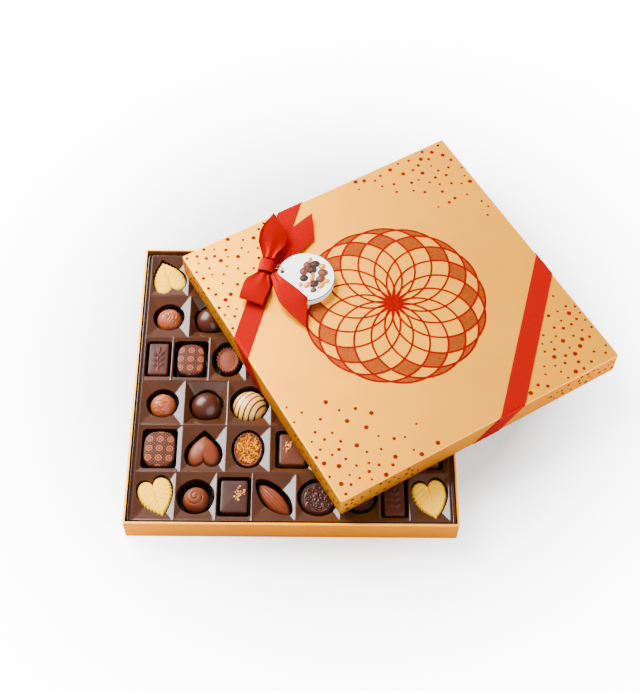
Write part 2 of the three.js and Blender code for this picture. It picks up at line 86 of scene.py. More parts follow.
class Look:
    """A material, with short ways to add nodes to it and to feed its shader."""

    def __init__(self, name):
        self.material = bpy.data.materials.new(name)
        self.material.use_nodes = True
        self.nodes = self.material.node_tree.nodes
        self.links = self.material.node_tree.links
        self.shader = self.nodes["Principled BSDF"]

    def feed(self, node, key, value):
        """Links a socket to a node's input, or sets the input's plain value."""
        if isinstance(value, bpy.types.NodeSocket):
            self.links.new(value, node.inputs[key])
        else:
            node.inputs[key].default_value = value

    def node(self, kind, inputs=None, **settings):
        made = self.nodes.new("ShaderNode" + kind)
        for key, value in settings.items():
            setattr(made, key, value)
        for key, value in (inputs or {}).items():
            self.feed(made, key, value)
        return made

    def noise(self, source, scale, detail=3.0, distortion=0.0):
        inputs = {"Scale": scale, "Detail": detail, "Distortion": distortion, "Vector": source}
        return self.node("TexNoise", inputs).outputs["Fac"]

    def ramp(self, source, stops):
        made = self.node("ValToRGB", {"Fac": source})
        elements = made.color_ramp.elements
        elements.remove(elements[1])
        elements[0].position, elements[0].color = stops[0][0], (*stops[0][1], 1)
        for place, color in stops[1:]:
            elements.new(place).color = (*color, 1)
        return made.outputs["Color"]

    def facing(self, upright, level):
        """A grey that goes from upright faces to level ones: each end is a normal's Z and its grey."""
        normal = self.node("NewGeometry").outputs["Normal"]
        up = self.node("SeparateXYZ", {0: normal}).outputs["Z"]
        return self.ramp(up, [(z, (grey, grey, grey)) for z, grey in (upright, level)])

    def mix(self, a, b, factor=1.0, kind="MIX"):
        inputs = {"Factor": factor, "A": a, "B": b}
        return self.node("Mix", inputs, data_type="RGBA", blend_type=kind).outputs["Result"]

    def distance(self, source, centre):
        return self.node("VectorMath", {0: source, 1: centre}, operation="DISTANCE").outputs["Value"]

    def calc(self, operation, source, value):
        return self.node("Math", {0: source, 1: value}, operation=operation).outputs[0]

    def finish(self, color, roughness, metallic=0.0, specular=0.5, tint=(1, 1, 1)):
        self.feed(self.shader, "Base Color", color)
        self.feed(self.shader, "Roughness", roughness)
        self.feed(self.shader, "Metallic", metallic)
        self.feed(self.shader, "Specular IOR Level", specular)
        self.feed(self.shader, "Specular Tint", (*tint, 1))

    def bump(self, height, strength, distance=GRAIN_DEPTH):
        made = self.node("Bump", {"Strength": strength, "Distance": distance, "Height": height})
        self.feed(self.shader, "Normal", made.outputs["Normal"])


def shade(color, factor):
    return tuple(min(1.0, c * factor) for c in color)


def surface(name, color, roughness, vary=0.08, grain=120.0, bump=0.1, **shine):
    """A finish with a fine mottle in its colour and a grain in its relief."""
    look = Look(name)
    place = look.node("TexCoord").outputs["Object"]
    stops = [(0.3, shade(color, 1 - vary)), (0.7, shade(color, 1 + vary))]
    look.finish(look.ramp(look.noise(place, grain, 4.0), stops), roughness, **shine)
    look.bump(look.noise(place, grain * 6), bump)
    return look


def gold_board(name, wall):
    """Satin gold paper with a fine brushed mottle, and painted shade: a darker tone on the upright walls, set
    by the wall colour.
    """
    look = Look(name)
    place = look.node("TexCoord").outputs["Object"]
    cloud = look.noise(place, 16.0, 5.0, 0.4)
    # Painted shade: the upright walls take the darker wall colour, and the level tops a lighter gold.
    walls = look.ramp(cloud, [(0.25, shade(wall, 0.94)), (0.75, shade(wall, 1.06))])
    level = look.ramp(cloud, [(0.25, (0.92, 0.355, 0.001)), (0.75, (1.0, 0.405, 0.0015))])
    tone_with_painted_wall_shade = look.mix(walls, level, look.facing((0.1, 0), (0.8, 1)))
    foil = look.facing((0.1, 0.4), (0.8, 0.85))
    look.finish(tone_with_painted_wall_shade, 0.45, metallic=foil, specular=0.0, tint=(1.0, 0.45, 0.05))
    look.bump(look.noise(place, 900.0, 2.0), 0.16)
    return look


def satin():
    """Red satin with fine threads across the ribbon, with painted shade where it stands upright."""
    look = Look("red_satin")
    place = look.node("UVMap").outputs["UV"]
    stretch = look.node("Mapping", {"Scale": (0.35, 9.0, 1.0), "Vector": place})
    threads = look.noise(stretch.outputs["Vector"], 3.0, 2.0)
    stops = [(0.3, (0.22, 0.0002, 0.0001)), (0.7, (0.27, 0.0003, 0.0002))]
    # Painted shade: upright parts of the ribbon take the thread colours at half brightness.
    deep = [(at, shade(color, 0.5)) for at, color in stops]
    level = look.facing((0.05, 0), (0.6, 1))
    tint = (1.0, 0.02, 0.01)
    look.finish(look.mix(look.ramp(threads, deep), look.ramp(threads, stops), level), 0.5,
                metallic=0.25, specular=0.01, tint=tint)
    look.feed(look.shader, "Sheen Weight", 0.05)
    look.feed(look.shader, "Sheen Tint", (*tint, 1.0))
    look.bump(threads, 0.12, 0.0003)
    return look


def printed_chocolate():
    """Brown chocolate with a pale transfer print on its top: rings, with dots between them."""
    look = Look("printed_chocolate")
    place = look.node("UVMap").outputs["UV"]

    def rings(pitch, turn, stops):
        lay = look.node("Mapping", {"Scale": (1 / pitch, 1 / pitch, 1), "Rotation": (0, 0, turn),
                                    "Location": (0.5, 0.5, 0), "Vector": place})
        cell = look.node("VectorMath", {0: lay.outputs["Vector"]}, operation="FRACTION")
        return look.ramp(look.distance(cell.outputs["Vector"], (0.5, 0.5, 0)), stops)

    base, speck, pale = (0.036, 0.0092, 0.0042), (0.15, 0.036, 0.014), (0.25, 0.060, 0.021)
    large = rings(9.6, 0.03, [
        (0.0, base), (0.035, base), (0.06, pale), (0.115, pale), (0.14, base), (0.2, base),
        (0.225, pale), (0.315, pale), (0.335, (0, 0, 0)),
    ])
    small = rings(2.3, math.pi / 4, [(0.0, speck), (0.16, speck), (0.26, base)])
    plain = look.ramp(look.noise(place, 1.2), [(0.3, shade(base, 0.9)), (0.7, shade(base, 1.1))])
    printed = look.mix(large, small, kind="LIGHTEN")
    look.finish(look.mix(plain, printed, look.facing((0.35, 0), (0.6, 1))), 0.5, specular=0.1)
    look.bump(look.noise(place, 0.8), 0.06)
    return look


STRIPE_CENTRE = (30, -22, 0)
STRIPE_PITCH = 5.3


def striped_ivory():
    """Ivory chocolate with dark lines drawn over it in flat arcs."""
    look = Look("striped_ivory")
    place = look.node("UVMap").outputs["UV"]
    share = look.calc("DIVIDE", look.distance(place, STRIPE_CENTRE), STRIPE_PITCH)
    ivory, dark = (0.78, 0.37, 0.05), (0.022, 0.006, 0.003)
    stops = [(0.0, dark), (0.135, dark), (0.17, ivory)]
    look.finish(look.ramp(look.calc("PINGPONG", share, 0.5), stops), 0.34)
    look.bump(look.noise(place, 0.5), 0.05, 0.0003)
    return look


# What several finishes share
SHEET = dict(vary=0.12, grain=40, bump=0.05)
MOULDED = dict(grain=110, bump=0.08)
NUGGET = dict(grain=400, bump=0.25, specular=0.05)
FOIL = dict(vary=0.15, bump=0.15)
INK = dict(grain=300, bump=0.05, specular=0.15)

looks = {
    # The second colour of each gold board is painted shade for its upright walls.
    "gold_tray": gold_board("gold_board_tray", (0.27, 0.090, 0.001)),
    "gold_lid": gold_board("gold_board_lid", (0.275, 0.094, 0.001)),
    "satin": satin(),
    "sheet": surface("brown_sheet", (0.042, 0.0125, 0.0045), 0.19, specular=0.36, **SHEET),
    # Painted shade: the pockets' walls and floors take a near-black copy of the brown sheet.
    "pocket": surface("pocket_sheet_painted_shade", (0.010, 0.0034, 0.0018), 0.24, specular=0.3, **SHEET),
    "ivory": surface("ivory_chocolate", (0.88, 0.46, 0.002), 0.5, vary=0.04, grain=150, bump=0.12,
                     specular=0.05),
    "milk": surface("milk_chocolate", (0.132, 0.0262, 0.0076), 0.4, vary=0.1, specular=0.16, **MOULDED),
    "bitter": surface("bitter_chocolate", (0.031, 0.0080, 0.0045), 0.36, vary=0.15, specular=0.2,
                      **MOULDED),
    "cocoa": surface("cocoa_chocolate", (0.076, 0.0175, 0.0065), 0.4, vary=0.1, specular=0.14,
                     **MOULDED),
    "truffle": surface("pale_milk_chocolate", (0.27, 0.052, 0.012), 0.38, vary=0.2, grain=260,
                       specular=0.35),
    "dark": surface("dark_chocolate", (0.048, 0.0115, 0.0056), 0.4, vary=0.15, grain=110, specular=0.13),
    "carved": surface("carved_chocolate", (0.036, 0.0082, 0.0038), 0.33, vary=0.15, grain=110, bump=0.05,
                      specular=0.28),
    "deep": surface("deep_chocolate", (0.044, 0.0092, 0.004), 0.28, vary=0.15, grain=60, bump=0.04,
                    specular=0.28),
    "print": printed_chocolate(),
    "striped": striped_ivory(),
    "nut": surface("roasted_nut", (0.60, 0.26, 0.05), 0.5, vary=0.35, grain=300, bump=0.3, specular=0.2),
    "nugget": surface("golden_nugget", (0.46, 0.146, 0.0001), 0.5, vary=0.25, **NUGGET),
    "nugget_pale": surface("pale_nugget", (0.62, 0.235, 0.0002), 0.5, vary=0.2, **NUGGET),
    "nugget_deep": surface("toasted_nugget", (0.20, 0.045, 0.0001), 0.5, vary=0.2, **NUGGET),
    "line": surface("red_foil_line", (0.22, 0.0008, 0.0004), 0.45, grain=300, metallic=0.6,
                    specular=0.05, tint=(1, 0.04, 0.02), **FOIL),
    "copper": surface("copper_foil", (0.27, 0.050, 0.006), 0.45, vary=0.4, grain=900, bump=0.5,
                      metallic=0.85, specular=0.05, tint=(1, 0.3, 0.06)),
    "dot": surface("russet_foil", (0.155, 0.0055, 0.0006), 0.4, grain=400, metallic=0.2,
                   specular=0.05, tint=(1, 0.06, 0.02), **FOIL),
    # Painted shade: the wall dots are the russet foil dots, darkened to near black on the upright walls.
    "painted_shade_wall_dot": surface("russet_foil_painted_shade", (0.022, 0.0030, 0.0008), 0.6, grain=400, specular=0.0, **FOIL),
    "card": surface("white_card", (0.90, 0.88, 0.88), 0.45, vary=0.015, grain=200, bump=0.05),
    "leaf_card": surface("leaf_card", (0.80, 0.77, 0.77), 0.55, vary=0.03, grain=200, bump=0.08),
    "rim": surface("olive_gold_rim", (0.07, 0.042, 0.014), 0.4, vary=0.1, grain=300, metallic=0.5),
    "thread": surface("gold_elastic", (0.26, 0.11, 0.018), 0.4, vary=0.3, grain=1500, bump=0.6,
                      metallic=0.5),
    "ink_brown": surface("brown_ink", (0.080, 0.020, 0.010), 0.5, vary=0.2, **INK),
    "ink_rose": surface("rose_brown_ink", (0.17, 0.060, 0.040), 0.5, vary=0.2, **INK),
    "ink_dark": surface("dark_ink", (0.016, 0.007, 0.008), 0.5, vary=0.2, **INK),
    "ink_gold": surface("golden_ink", (0.40, 0.13, 0.001), 0.5, vary=0.15, **INK),
    "ink_cream": surface("cream_ink", (0.74, 0.46, 0.10), 0.5, vary=0.1, **INK),
}


# Mesh helpers: points are in millimetres, pieces in metres

def put(name, data):
    obj = bpy.data.objects.new(name, data)
    bpy.context.scene.collection.objects.link(obj)
    return obj


def piece(name, points, faces, materials, nodes=(), place=Matrix(), slots=None, uv=None, sharp=40.0):
    mesh = bpy.data.meshes.new(name)
    mesh.from_pydata([(place @ Vector(p)) * MM for p in points], [], faces)
    for key in materials:
        mesh.materials.append(looks[key].material)
    if slots is not None:
        mesh.polygons.foreach_set("material_index", slots)
    if uv is not None:
        layer = mesh.uv_layers.new(name="UVMap")
        corners = np.zeros(len(mesh.loops), np.int32)
        mesh.loops.foreach_get("vertex_index", corners)
        layer.data.foreach_set("uv", np.asarray(uv, np.float32)[corners].ravel())
    obj = put(name, mesh)
    smooth_by_angle(obj, sharp)
    if nodes:
        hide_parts(*nodes)
    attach(obj, "root")
    return obj


def smooth_by_angle(obj, degrees):
    work = bmesh.new()
    work.from_mesh(obj.data)
    limit = math.radians(degrees)
    for face in work.faces:
        face.smooth = True
    for edge in work.edges:
        edge.smooth = len(edge.link_faces) == 2 and edge.calc_face_angle(0) < limit
    work.to_mesh(obj.data)
    work.free()


def grid_faces(rows, columns, wrap=False, first=0):
    """Faces of a grid whose point (r, c) has index first + r * columns + c."""
    faces = []
    for r in range(rows - 1):
        for c in range(columns if wrap else columns - 1):
            a, b = first + r * columns + c, first + r * columns + (c + 1) % columns
            faces.append((a, b, b + columns, a + columns))
    return faces


def end_caps(rings, count):
    """Faces over the first and the last ring of a wrapped grid."""
    last = (rings - 1) * count
    return [tuple(range(count)), tuple(last + c for c in reversed(range(count)))]


def flipped(faces):
    return [tuple(reversed(face)) for face in faces]


class Soup:
    """Several shapes gathered into one piece, each face with the slot of its material."""

    def __init__(self):
        self.points, self.faces, self.slots = [], [], []

    def add(self, points, faces, slot=0):
        """Adds a shape: its slot is one number, or a list with one for each face."""
        first = len(self.points)
        self.points += [tuple(map(float, p)) for p in points]
        self.faces += [tuple(first + k for k in face) for face in faces]
        self.slots += slot if isinstance(slot, list) else [slot] * len(faces)


# Rings of a praline: how far apart on its plain foot, and the shares of its height between which
# a relief sets in
PLAIN_STEP = 2.5
RELIEF_FROM = 0.45
RELIEF_FULL = 0.8


def soften(profile, rounds):
    """Cuts the corners of an open profile, and keeps its two ends."""
    for _ in range(rounds):
        cut = [profile[0]]
        for (a, b), (c, d) in zip(profile[:-1], profile[1:]):
            cut += [(0.75 * a + 0.25 * c, 0.75 * b + 0.25 * d), (0.25 * a + 0.75 * c, 0.25 * b + 0.75 * d)]
        profile = cut + [profile[-1]]
    return profile


def resample(profile, reach, step, plain_below):
    """Points along a (scale, height) profile for an outline of that reach: no further apart than
    step, and sparser on the plain foot below a height."""
    out = [profile[0]]
    for (a, b), (c, d) in zip(profile[:-1], profile[1:]):
        apart = PLAIN_STEP if max(b, d) < plain_below else step
        count = max(1, math.ceil(math.hypot((c - a) * reach, d - b) / apart))
        out += [(a + (c - a) * k / count, b + (d - b) * k / count) for k in range(1, count + 1)]
    return out


# Outlines, counterclockwise round their own origin

def turns(count):
    return np.arange(count) * math.tau / count


def oval(width, depth, count):
    angle = turns(count)
    return np.stack([width / 2 * np.cos(angle), depth / 2 * np.sin(angle)], 1)


def fluted(width, depth, count, flutes, ripple):
    angle = turns(count)
    reach = 1 - ripple * (0.5 - 0.5 * np.cos(flutes * angle)) ** 0.8
    return oval(width, depth, count) * reach[:, None]


def barrel(width, depth, count, power):
    angle = turns(count)
    x, y = np.cos(angle), np.sin(angle)
    return np.stack([np.sign(x) * width / 2 * abs(x) ** (2 / power),
                     np.sign(y) * depth / 2 * abs(y) ** (2 / power)], 1)


def by_length(points, count):
    """A closed outline through the points, sampled at even steps from its first point."""
    closed = np.vstack([points, points[:1]])
    along = np.concatenate([[0], np.cumsum(np.linalg.norm(np.diff(closed, axis=0), axis=1))])
    at = np.arange(count) * along[-1] / count
    return np.stack([np.interp(at, along, closed[:, k]) for k in (0, 1)], 1)


def rounded_rectangle(width, depth, radius, count):
    points = []
    for quarter in range(4):
        side_x = 1 if quarter in (0, 3) else -1
        side_y = 1 if quarter < 2 else -1
        for step in range(9):
            angle = math.pi / 2 * (quarter + step / 8)
            points.append((side_x * (width / 2 - radius) + radius * math.cos(angle),
                           side_y * (depth / 2 - radius) + radius * math.sin(angle)))
    return by_length(np.array(points), count)


def bezier(a, b, c, d, count):
    t = np.linspace(0, 1, count)[:, None]
    a, b, c, d = map(np.array, (a, b, c, d))
    return (1 - t) ** 3 * a + 3 * (1 - t) ** 2 * t * b + 3 * (1 - t) * t * t * c + t ** 3 * d


def heart(width, depth, count, teeth=0.0):
    """A heart with its tip at +Y, its flanks toothed near the tip."""
    flank = (-width / 2, -depth * 0.16)
    upper = bezier((0, depth * 0.52), (-width * 0.18, depth * 0.4), (-width / 2, depth * 0.14), flank, 60)
    lower = bezier(flank, (-width / 2, -depth * 0.5), (-width * 0.12, -depth * 0.6), (0, -depth * 0.33), 60)
    left = np.vstack([upper, lower[1:]])
    right = left[1:-1][::-1] * (-1, 1)
    outline = by_length(np.vstack([left, right]), count)
    if teeth:
        share = np.arange(count) / count
        side = np.minimum(share, 1 - share) * 2
        saw = (side * 15) % 1
        fade = np.clip(side / 0.04, 0, 1) * np.clip((0.66 - side) / 0.12, 0, 1)
        outline = outline * (1 - teeth * saw * fade)[:, None]
    return outline


def lens(width, depth, count):
    along = turns(count)
    bulge = np.sign(np.cos(along)) * abs(np.cos(along)) ** 1.35
    return np.stack([width / 2 * bulge, depth / 2 * np.sin(along)], 1)


# Pralines: an outline, a profile of (scale, height) rings and a relief over the top

SWIRL_PITCH = 4.3


def smoothstep(low, high, value):
    t = np.clip((value - low) / (high - low), 0, 1)
    return t * t * (3 - 2 * t)


def ridge(value, width):
    """A rounded bump of height 1 where the value is 0."""
    return np.exp(-(value / width) ** 2)


def praline(outline, profile, relief=None, rounds=2, step=0.7, crown=0.0):
    """Points and faces of a closed body. A crown turns its outline into an oval towards the top."""
    reach = float(np.linalg.norm(outline, axis=1).max())
    top = profile[-1][1]
    rings = resample(soften(profile, rounds), reach, step, RELIEF_FROM * top)[1:-1]
    scale = np.array([r[0] for r in rings])[:, None]
    height = np.array([r[1] for r in rings])[:, None] + np.zeros((1, len(outline)))
    size = outline.max(0) - outline.min(0)
    angle = np.arctan2(outline[:, 1], outline[:, 0])
    round_top = 0.42 * np.stack([size[0] * np.cos(angle), size[1] * np.sin(angle)], 1)
    mix = (crown * smoothstep(1, 0.3, scale) * smoothstep(0.5 * top, 0.75 * top, height[:, :1]))[:, :, None]
    plan = scale[:, :, None] * (outline[None] * (1 - mix) + round_top[None] * mix)
    x, y = plan[:, :, 0], plan[:, :, 1]
    if relief is not None:
        share = smoothstep(RELIEF_FROM * top, RELIEF_FULL * top, height)
        height = height + relief(x, y, scale + 0 * x) * share
    points = np.stack([x, y, height], 2).reshape(-1, 3)
    count = len(outline)
    faces = grid_faces(len(rings), count, wrap=True)
    base, tip = len(points), len(points) + 1
    points = np.vstack([points, [[0, 0, profile[0][1]]], [[0, 0, height[-1].mean()]]])
    last = base - count
    faces += [(base, (c + 1) % count, c) for c in range(count)]
    faces += [(tip, last + c, last + (c + 1) % count) for c in range(count)]
    return points, faces


def leaf_relief(x, y, scale):
    run = y - 0.9 * abs(x) + 0.02 * x * x
    veins = ridge(np.sin(math.pi * run / 5.2), 0.3) + 0.35 * ridge(np.sin(math.pi * run / 1.3), 0.5)
    rib = ridge(x, 0.8)
    swell = 0.5 * np.sin(math.pi * np.clip(abs(x) / 15, 0, 1))
    return (swell - 0.42 * veins - 0.6 * rib) * smoothstep(1.0, 0.85, scale)


def swirl_relief(x, y, scale):
    reach, angle = np.hypot(x, y), np.arctan2(y, x)
    turn = (reach / SWIRL_PITCH + angle / math.tau + 0.1) % 1
    groove = ridge(turn - 0.5, 0.13)
    return (0.35 - 0.95 * groove) * smoothstep(10.6, 9.6, reach) * smoothstep(0.2, 1.4, reach)


def almond_relief(x, y, scale):
    half = 8.25 * np.clip(1 - (abs(y) / 20) ** 2, 0.02, 1) ** 0.7
    across = x / half
    fade = smoothstep(19, 13, abs(y))
    grooves = sum(depth * ridge(across - at, 0.045) for at, depth in
                  ((-0.62, 0.45), (-0.3, 0.6), (0.02, 1.0), (0.14, 0.6), (0.5, 0.6), (0.74, 0.4)))
    return -grooves * fade


def curl(x, y, cx, cy, turn, hand):
    """A small coiled ridge about (cx, cy)."""
    u, v = x - cx, (y - cy) * hand
    reach = np.hypot(u, v)
    coil = (reach / 2.1 - (np.arctan2(v, u) + turn) / math.tau) % 1
    return ridge(coil - 0.5, 0.2) * smoothstep(4.1, 3.4, reach)


def petals(x, y, count, low, high, turn):
    reach, angle = np.hypot(x, y), np.arctan2(y, x) + turn
    middle, half = (low + high) / 2, (high - low) / 2
    body = np.clip(1 - ((reach - middle) / half) ** 2, 0, 1)
    wedge = abs(np.cos(count * angle / 2)) ** 0.6
    vein = 0.35 * ridge(np.sin(count * angle / 2 + math.pi / 2), 0.16)
    return body ** 0.5 * wedge - vein * body


def floral_relief(x, y, scale):
    shape = petals(x, y, 6, 1.3, 5.2, 0.3) + np.clip(1 - (np.hypot(x, y) / 1.4) ** 2, 0, 1)
    count = 8
    for k in range(count):
        angle = math.tau * k / count
        middle = 9.4 + 0.8 * (k % 2)
        shape = np.maximum(shape, curl(x, y, middle * math.cos(angle), middle * math.sin(angle), 2.2 * angle,
                                       1 if k % 3 else -1))
    shape = np.maximum(shape, 0.8 * ridge(np.hypot(x, y) - 14.3, 0.55))
    return 1.25 * shape - 0.45


def streak_relief(x, y, scale):
    bend = 0.9 * np.sin(0.35 * x + 1.0) + 0.5 * np.sin(0.8 * x + 0.6 * y)
    lines = np.abs(np.sin(1.15 * (y + 0.18 * x + bend))) ** 0.7
    crossing = 0.6 * np.abs(np.sin(0.75 * (y - 0.1 * x) + 1.5 * bend))
    return 0.68 * (lines + crossing - 0.85)


def sprig_relief(x, y, scale):
    def leaf(cx, cy, width, length, turn):
        c, s = math.cos(turn), math.sin(turn)
        u, v = (x - cx) * c + (y - cy) * s, -(x - cx) * s + (y - cy) * c
        body = np.clip(1 - (u / width) ** 2 - (v / length) ** 2, 0, 1) ** 0.5
        return body - 0.4 * ridge(u, 0.3) * (body > 0)
    stem = ridge(x, 0.55) * smoothstep(-14, -13, y) * smoothstep(9, 7, y)
    shape = np.maximum(stem * 0.6, leaf(0, 10, 1.9, 4.0, 0))
    for cy, turn in ((4, 0.75), (-2, 0.85), (-8, 0.95)):
        shape = np.maximum(shape, leaf(3.2, cy + 1, 1.5, 3.5, -turn))
        shape = np.maximum(shape, leaf(-3.2, cy + 1, 1.5, 3.5, turn))
    return 0.95 * shape


def ring_relief(x, y, scale):
    return -0.45 * ridge(scale - 0.74, 0.02) - 0.15 * smoothstep(0.76, 0.72, scale)


def crease_relief(x, y, scale):
    return -1.4 * ridge(x, 1.2) * smoothstep(-3, -9, y)


def block_profile(height):
    return [(0, 0), (0.95, 0), (1, 1.2), (1, height - 2.2), (0.985, height - 0.9), (0.95, height - 0.25),
            (0.8, height), (0, height + 0.3)]


def ball_profile(height):
    widest = height * 0.42
    rings = [(0, 0), (0.66, 0), (0.9, widest * 0.5)]
    for step in range(13):
        angle = step / 12 * math.pi / 2
        rings.append((math.cos(angle), widest + (height - widest) * math.sin(angle)))
    rings[-1] = (0, height)
    return rings


def cup_profile(height, filling):
    return [(0, 0), (0.76, 0), (0.985, height - 0.6), (0.96, height), (0.9, height), (0.86, filling),
            (0.8, filling), (0, filling + 0.4)]


def chunk(size, draw):
    """A small broken piece: a dented icosahedron."""
    ratio = (1 + 5 ** 0.5) / 2
    corners = [np.roll((t, s * ratio, 0), axis) for axis in range(3) for s in (1, -1) for t in (-1, 1)]
    faces = [(0, 11, 5), (0, 5, 1), (0, 1, 7), (0, 7, 10), (0, 10, 11), (1, 5, 9), (5, 11, 4), (11, 10, 2),
             (10, 7, 6), (7, 1, 8), (3, 9, 4), (3, 4, 2), (3, 2, 6), (3, 6, 8), (3, 8, 9), (4, 9, 5),
             (2, 4, 11), (6, 2, 10), (8, 6, 7), (9, 8, 1)]
    turn = Matrix.Rotation(draw.uniform(0, 6), 3, "X") @ Matrix.Rotation(draw.uniform(0, 6), 3, "Y")
    stretch = Vector((draw.uniform(0.7, 1.2), draw.uniform(0.8, 1.1), draw.uniform(0.6, 1.0)))
    points = []
    for corner in corners:
        point = Vector(corner).normalized() * size * draw.uniform(0.8, 1.1)
        points.append(turn @ Vector(a * b for a, b in zip(point, stretch)))
    return np.array(points), faces


GOLDEN_ANGLE = 2.39996


def scatter(soup, count, seed, size, centre, reach, height, slots, loose=0.0, turn=0.0):
    """Broken pieces set into a top face over an ellipse with its own turn. Loose ones stray further."""
    draw = random.Random(seed)
    c, s = math.cos(turn), math.sin(turn)
    for k in range(count):
        out = math.sqrt((k + 0.5) / count) * draw.uniform(0.85 - 0.5 * loose, 1.0)
        angle = k * GOLDEN_ANGLE + draw.uniform(-0.4, 0.4) * (1 + 5 * loose)
        u, v = reach[0] * out * math.cos(angle), reach[1] * out * math.sin(angle)
        points, faces = chunk(size * draw.uniform(0.55 - 0.15 * loose, 1.2), draw)
        x, y = centre[0] + c * u - s * v, centre[1] + s * u + c * v
        soup.add(points + (x, y, height + draw.uniform(-0.3, 0.5)), faces, slots[k % len(slots)])


POCKET_POINTS = 360
BARREL_PROFILE = [(0, 0), (0.93, 0), (1, 2.5), (1, 15.6), (0.97, 17.2), (0.9, 18), (0, 18.6)]


def round_pocket(width, depth):
    return oval(width, depth, POCKET_POINTS)


def square_pocket(width, depth, radius=3.5):
    return rounded_rectangle(width, depth, radius, POCKET_POINTS)


# Each kind: its looks, the fall of its funnel per millimetre, the pocket's share where the funnel
# ends, the shape of pocket and praline, and what lies on it
KINDS = {
    "leaf": dict(
        look=["ivory"], funnel=2.2, narrowing=0.75, swing=6.4, relief=leaf_relief,
        pocket=heart(32.5, 39, POCKET_POINTS) * 1.05, outline=heart(32.5, 39, 260, 0.09),
        profile=[(0, 0), (0.86, 0), (0.95, 5), (1, 11), (0.985, 14.2), (0.93, 15.8), (0.8, 16.5), (0, 17)]),
    "swirl_dome": dict(
        look=["milk"], funnel=3, narrowing=0.72, relief=swirl_relief, step=0.45,
        pocket=round_pocket(35, 35), outline=oval(24.4, 24.4, 144),
        profile=[(0, 0), (0.9, 0), (1, 7), (0.95, 12), (0.8, 16), (0.5, 18.8), (0, 20)]),
    "nut_block": dict(
        look=["bitter", "nut"], funnel=1.6, narrowing=0.95, step=1.4,
        pocket=square_pocket(30.6, 39.6), outline=rounded_rectangle(24.5, 32, 2.4, 112),
        profile=block_profile(19),
        chunks=dict(count=28, seed=3, size=1.3, centre=(4.4, 2.5), reach=(5.6, 10.5), height=19.1,
                    slots=[1], loose=1.0, turn=-0.5)),
    "almond": dict(
        look=["milk"], funnel=2.6, narrowing=0.75, relief=almond_relief, step=0.5,
        pocket=lens(23, 47, POCKET_POINTS), outline=lens(16.5, 44, 160),
        profile=[(0, 0), (0.7, 0), (0.96, 5), (1, 9), (0.82, 13.5), (0.42, 16.6), (0, 17.6)]),
    "floral_disc": dict(
        look=["carved"], funnel=2, narrowing=0.75, relief=floral_relief, step=0.55,
        pocket=round_pocket(38, 38), outline=oval(32.4, 32.4, 144),
        profile=[(0, 0), (0.95, 0), (1, 3), (1, 14.4), (0.95, 16.4), (0.86, 17.2), (0, 17.6)]),
    "fluted_cup": dict(
        look=["dark"], funnel=2.4, narrowing=0.75, relief=ring_relief, profile=cup_profile(18.5, 17.4),
        pocket=round_pocket(32, 32), outline=fluted(26.5, 26.5, 200, 20, 0.11)),
    "oval_cup": dict(
        look=["milk"], funnel=2.2, narrowing=0.8, relief=ring_relief, profile=cup_profile(17.5, 16.6),
        pocket=round_pocket(31, 39.5), outline=fluted(22.5, 29.5, 220, 22, 0.13)),
    "nugget_tart": dict(
        look=["milk", "nugget", "nugget_pale", "nugget_deep"], funnel=2.2, narrowing=0.8, step=1.4,
        pocket=round_pocket(31, 40), outline=fluted(26.5, 36, 180, 26, 0.05),
        profile=cup_profile(18, 16.6),
        chunks=dict(count=300, seed=9, size=1.25, centre=(0, 0), reach=(11.2, 16), height=17.6,
                    slots=[1, 2, 1, 2, 1, 3], loose=0.1)),
    "relief_bar": dict(
        look=["dark"], funnel=1.6, narrowing=0.95, relief=sprig_relief, step=0.5,
        pocket=square_pocket(24.6, 40, 3), outline=rounded_rectangle(18.6, 35, 1.8, 128),
        profile=block_profile(18.2)),
    "print_barrel": dict(
        look=["print"], funnel=1.6, narrowing=0.95, step=1.4, profile=BARREL_PROFILE,
        pocket=square_pocket(33, 41.2), outline=barrel(29.5, 36.6, 96, 3)),
    "narrow_barrel": dict(
        look=["print"], funnel=1.6, narrowing=0.95, step=1.4, profile=BARREL_PROFILE,
        pocket=square_pocket(33, 41.2), outline=barrel(26, 34.5, 96, 3)),
    "heart": dict(
        look=["milk"], funnel=3, narrowing=0.72, relief=crease_relief, crown=0.9,
        pocket=heart(32, 34, POCKET_POINTS) * 1.12, outline=heart(31.5, 33.5, 112),
        profile=[(0, 0), (0.82, 0), (0.96, 4), (1, 8), (0.9, 14), (0.66, 17.8), (0, 19.6)]),
    "crumb_block": dict(
        look=["cocoa", "nut"], funnel=2, narrowing=0.95, step=1.4,
        pocket=square_pocket(31.4, 39.4), outline=rounded_rectangle(24, 31.5, 2.4, 112),
        profile=block_profile(19),
        chunks=dict(count=24, seed=5, size=1.45, centre=(-3.4, 3), reach=(5.2, 8.6), height=19.1,
                    slots=[1], loose=1.0, turn=-0.5)),
    "truffle": dict(
        look=["truffle"], funnel=3, narrowing=0.72, relief=streak_relief, step=0.5,
        pocket=round_pocket(31, 31), outline=oval(24.8, 24.8, 112), profile=ball_profile(20.4)),
    "dark_ball": dict(
        look=["deep"], funnel=8, narrowing=0.72, rounds=1,
        pocket=round_pocket(33, 33), outline=oval(28.8, 28.8, 96), profile=ball_profile(22)),
    "ivory_ball": dict(
        look=["striped"], funnel=2.4, narrowing=0.72, rounds=1,
        pocket=round_pocket(38.2, 38.2), outline=oval(32.4, 32.4, 96), profile=ball_profile(21.6)),
}

LEAF_LEAN = math.radians(20)
SLIGHT_LEAN = math.radians(12)
ALMOND_LEAN = math.radians(43)
EVEN_CELLS = [FIELD_WIDTH / 7] * 7
MIXED_CELLS = [37.5, 37, 32.5, 39.5, 40, 35, 27.5, 36.5]
SLENDER_CELLS = [26.5, 35.5, 35.5, 37, 39, 36, 39, 37]
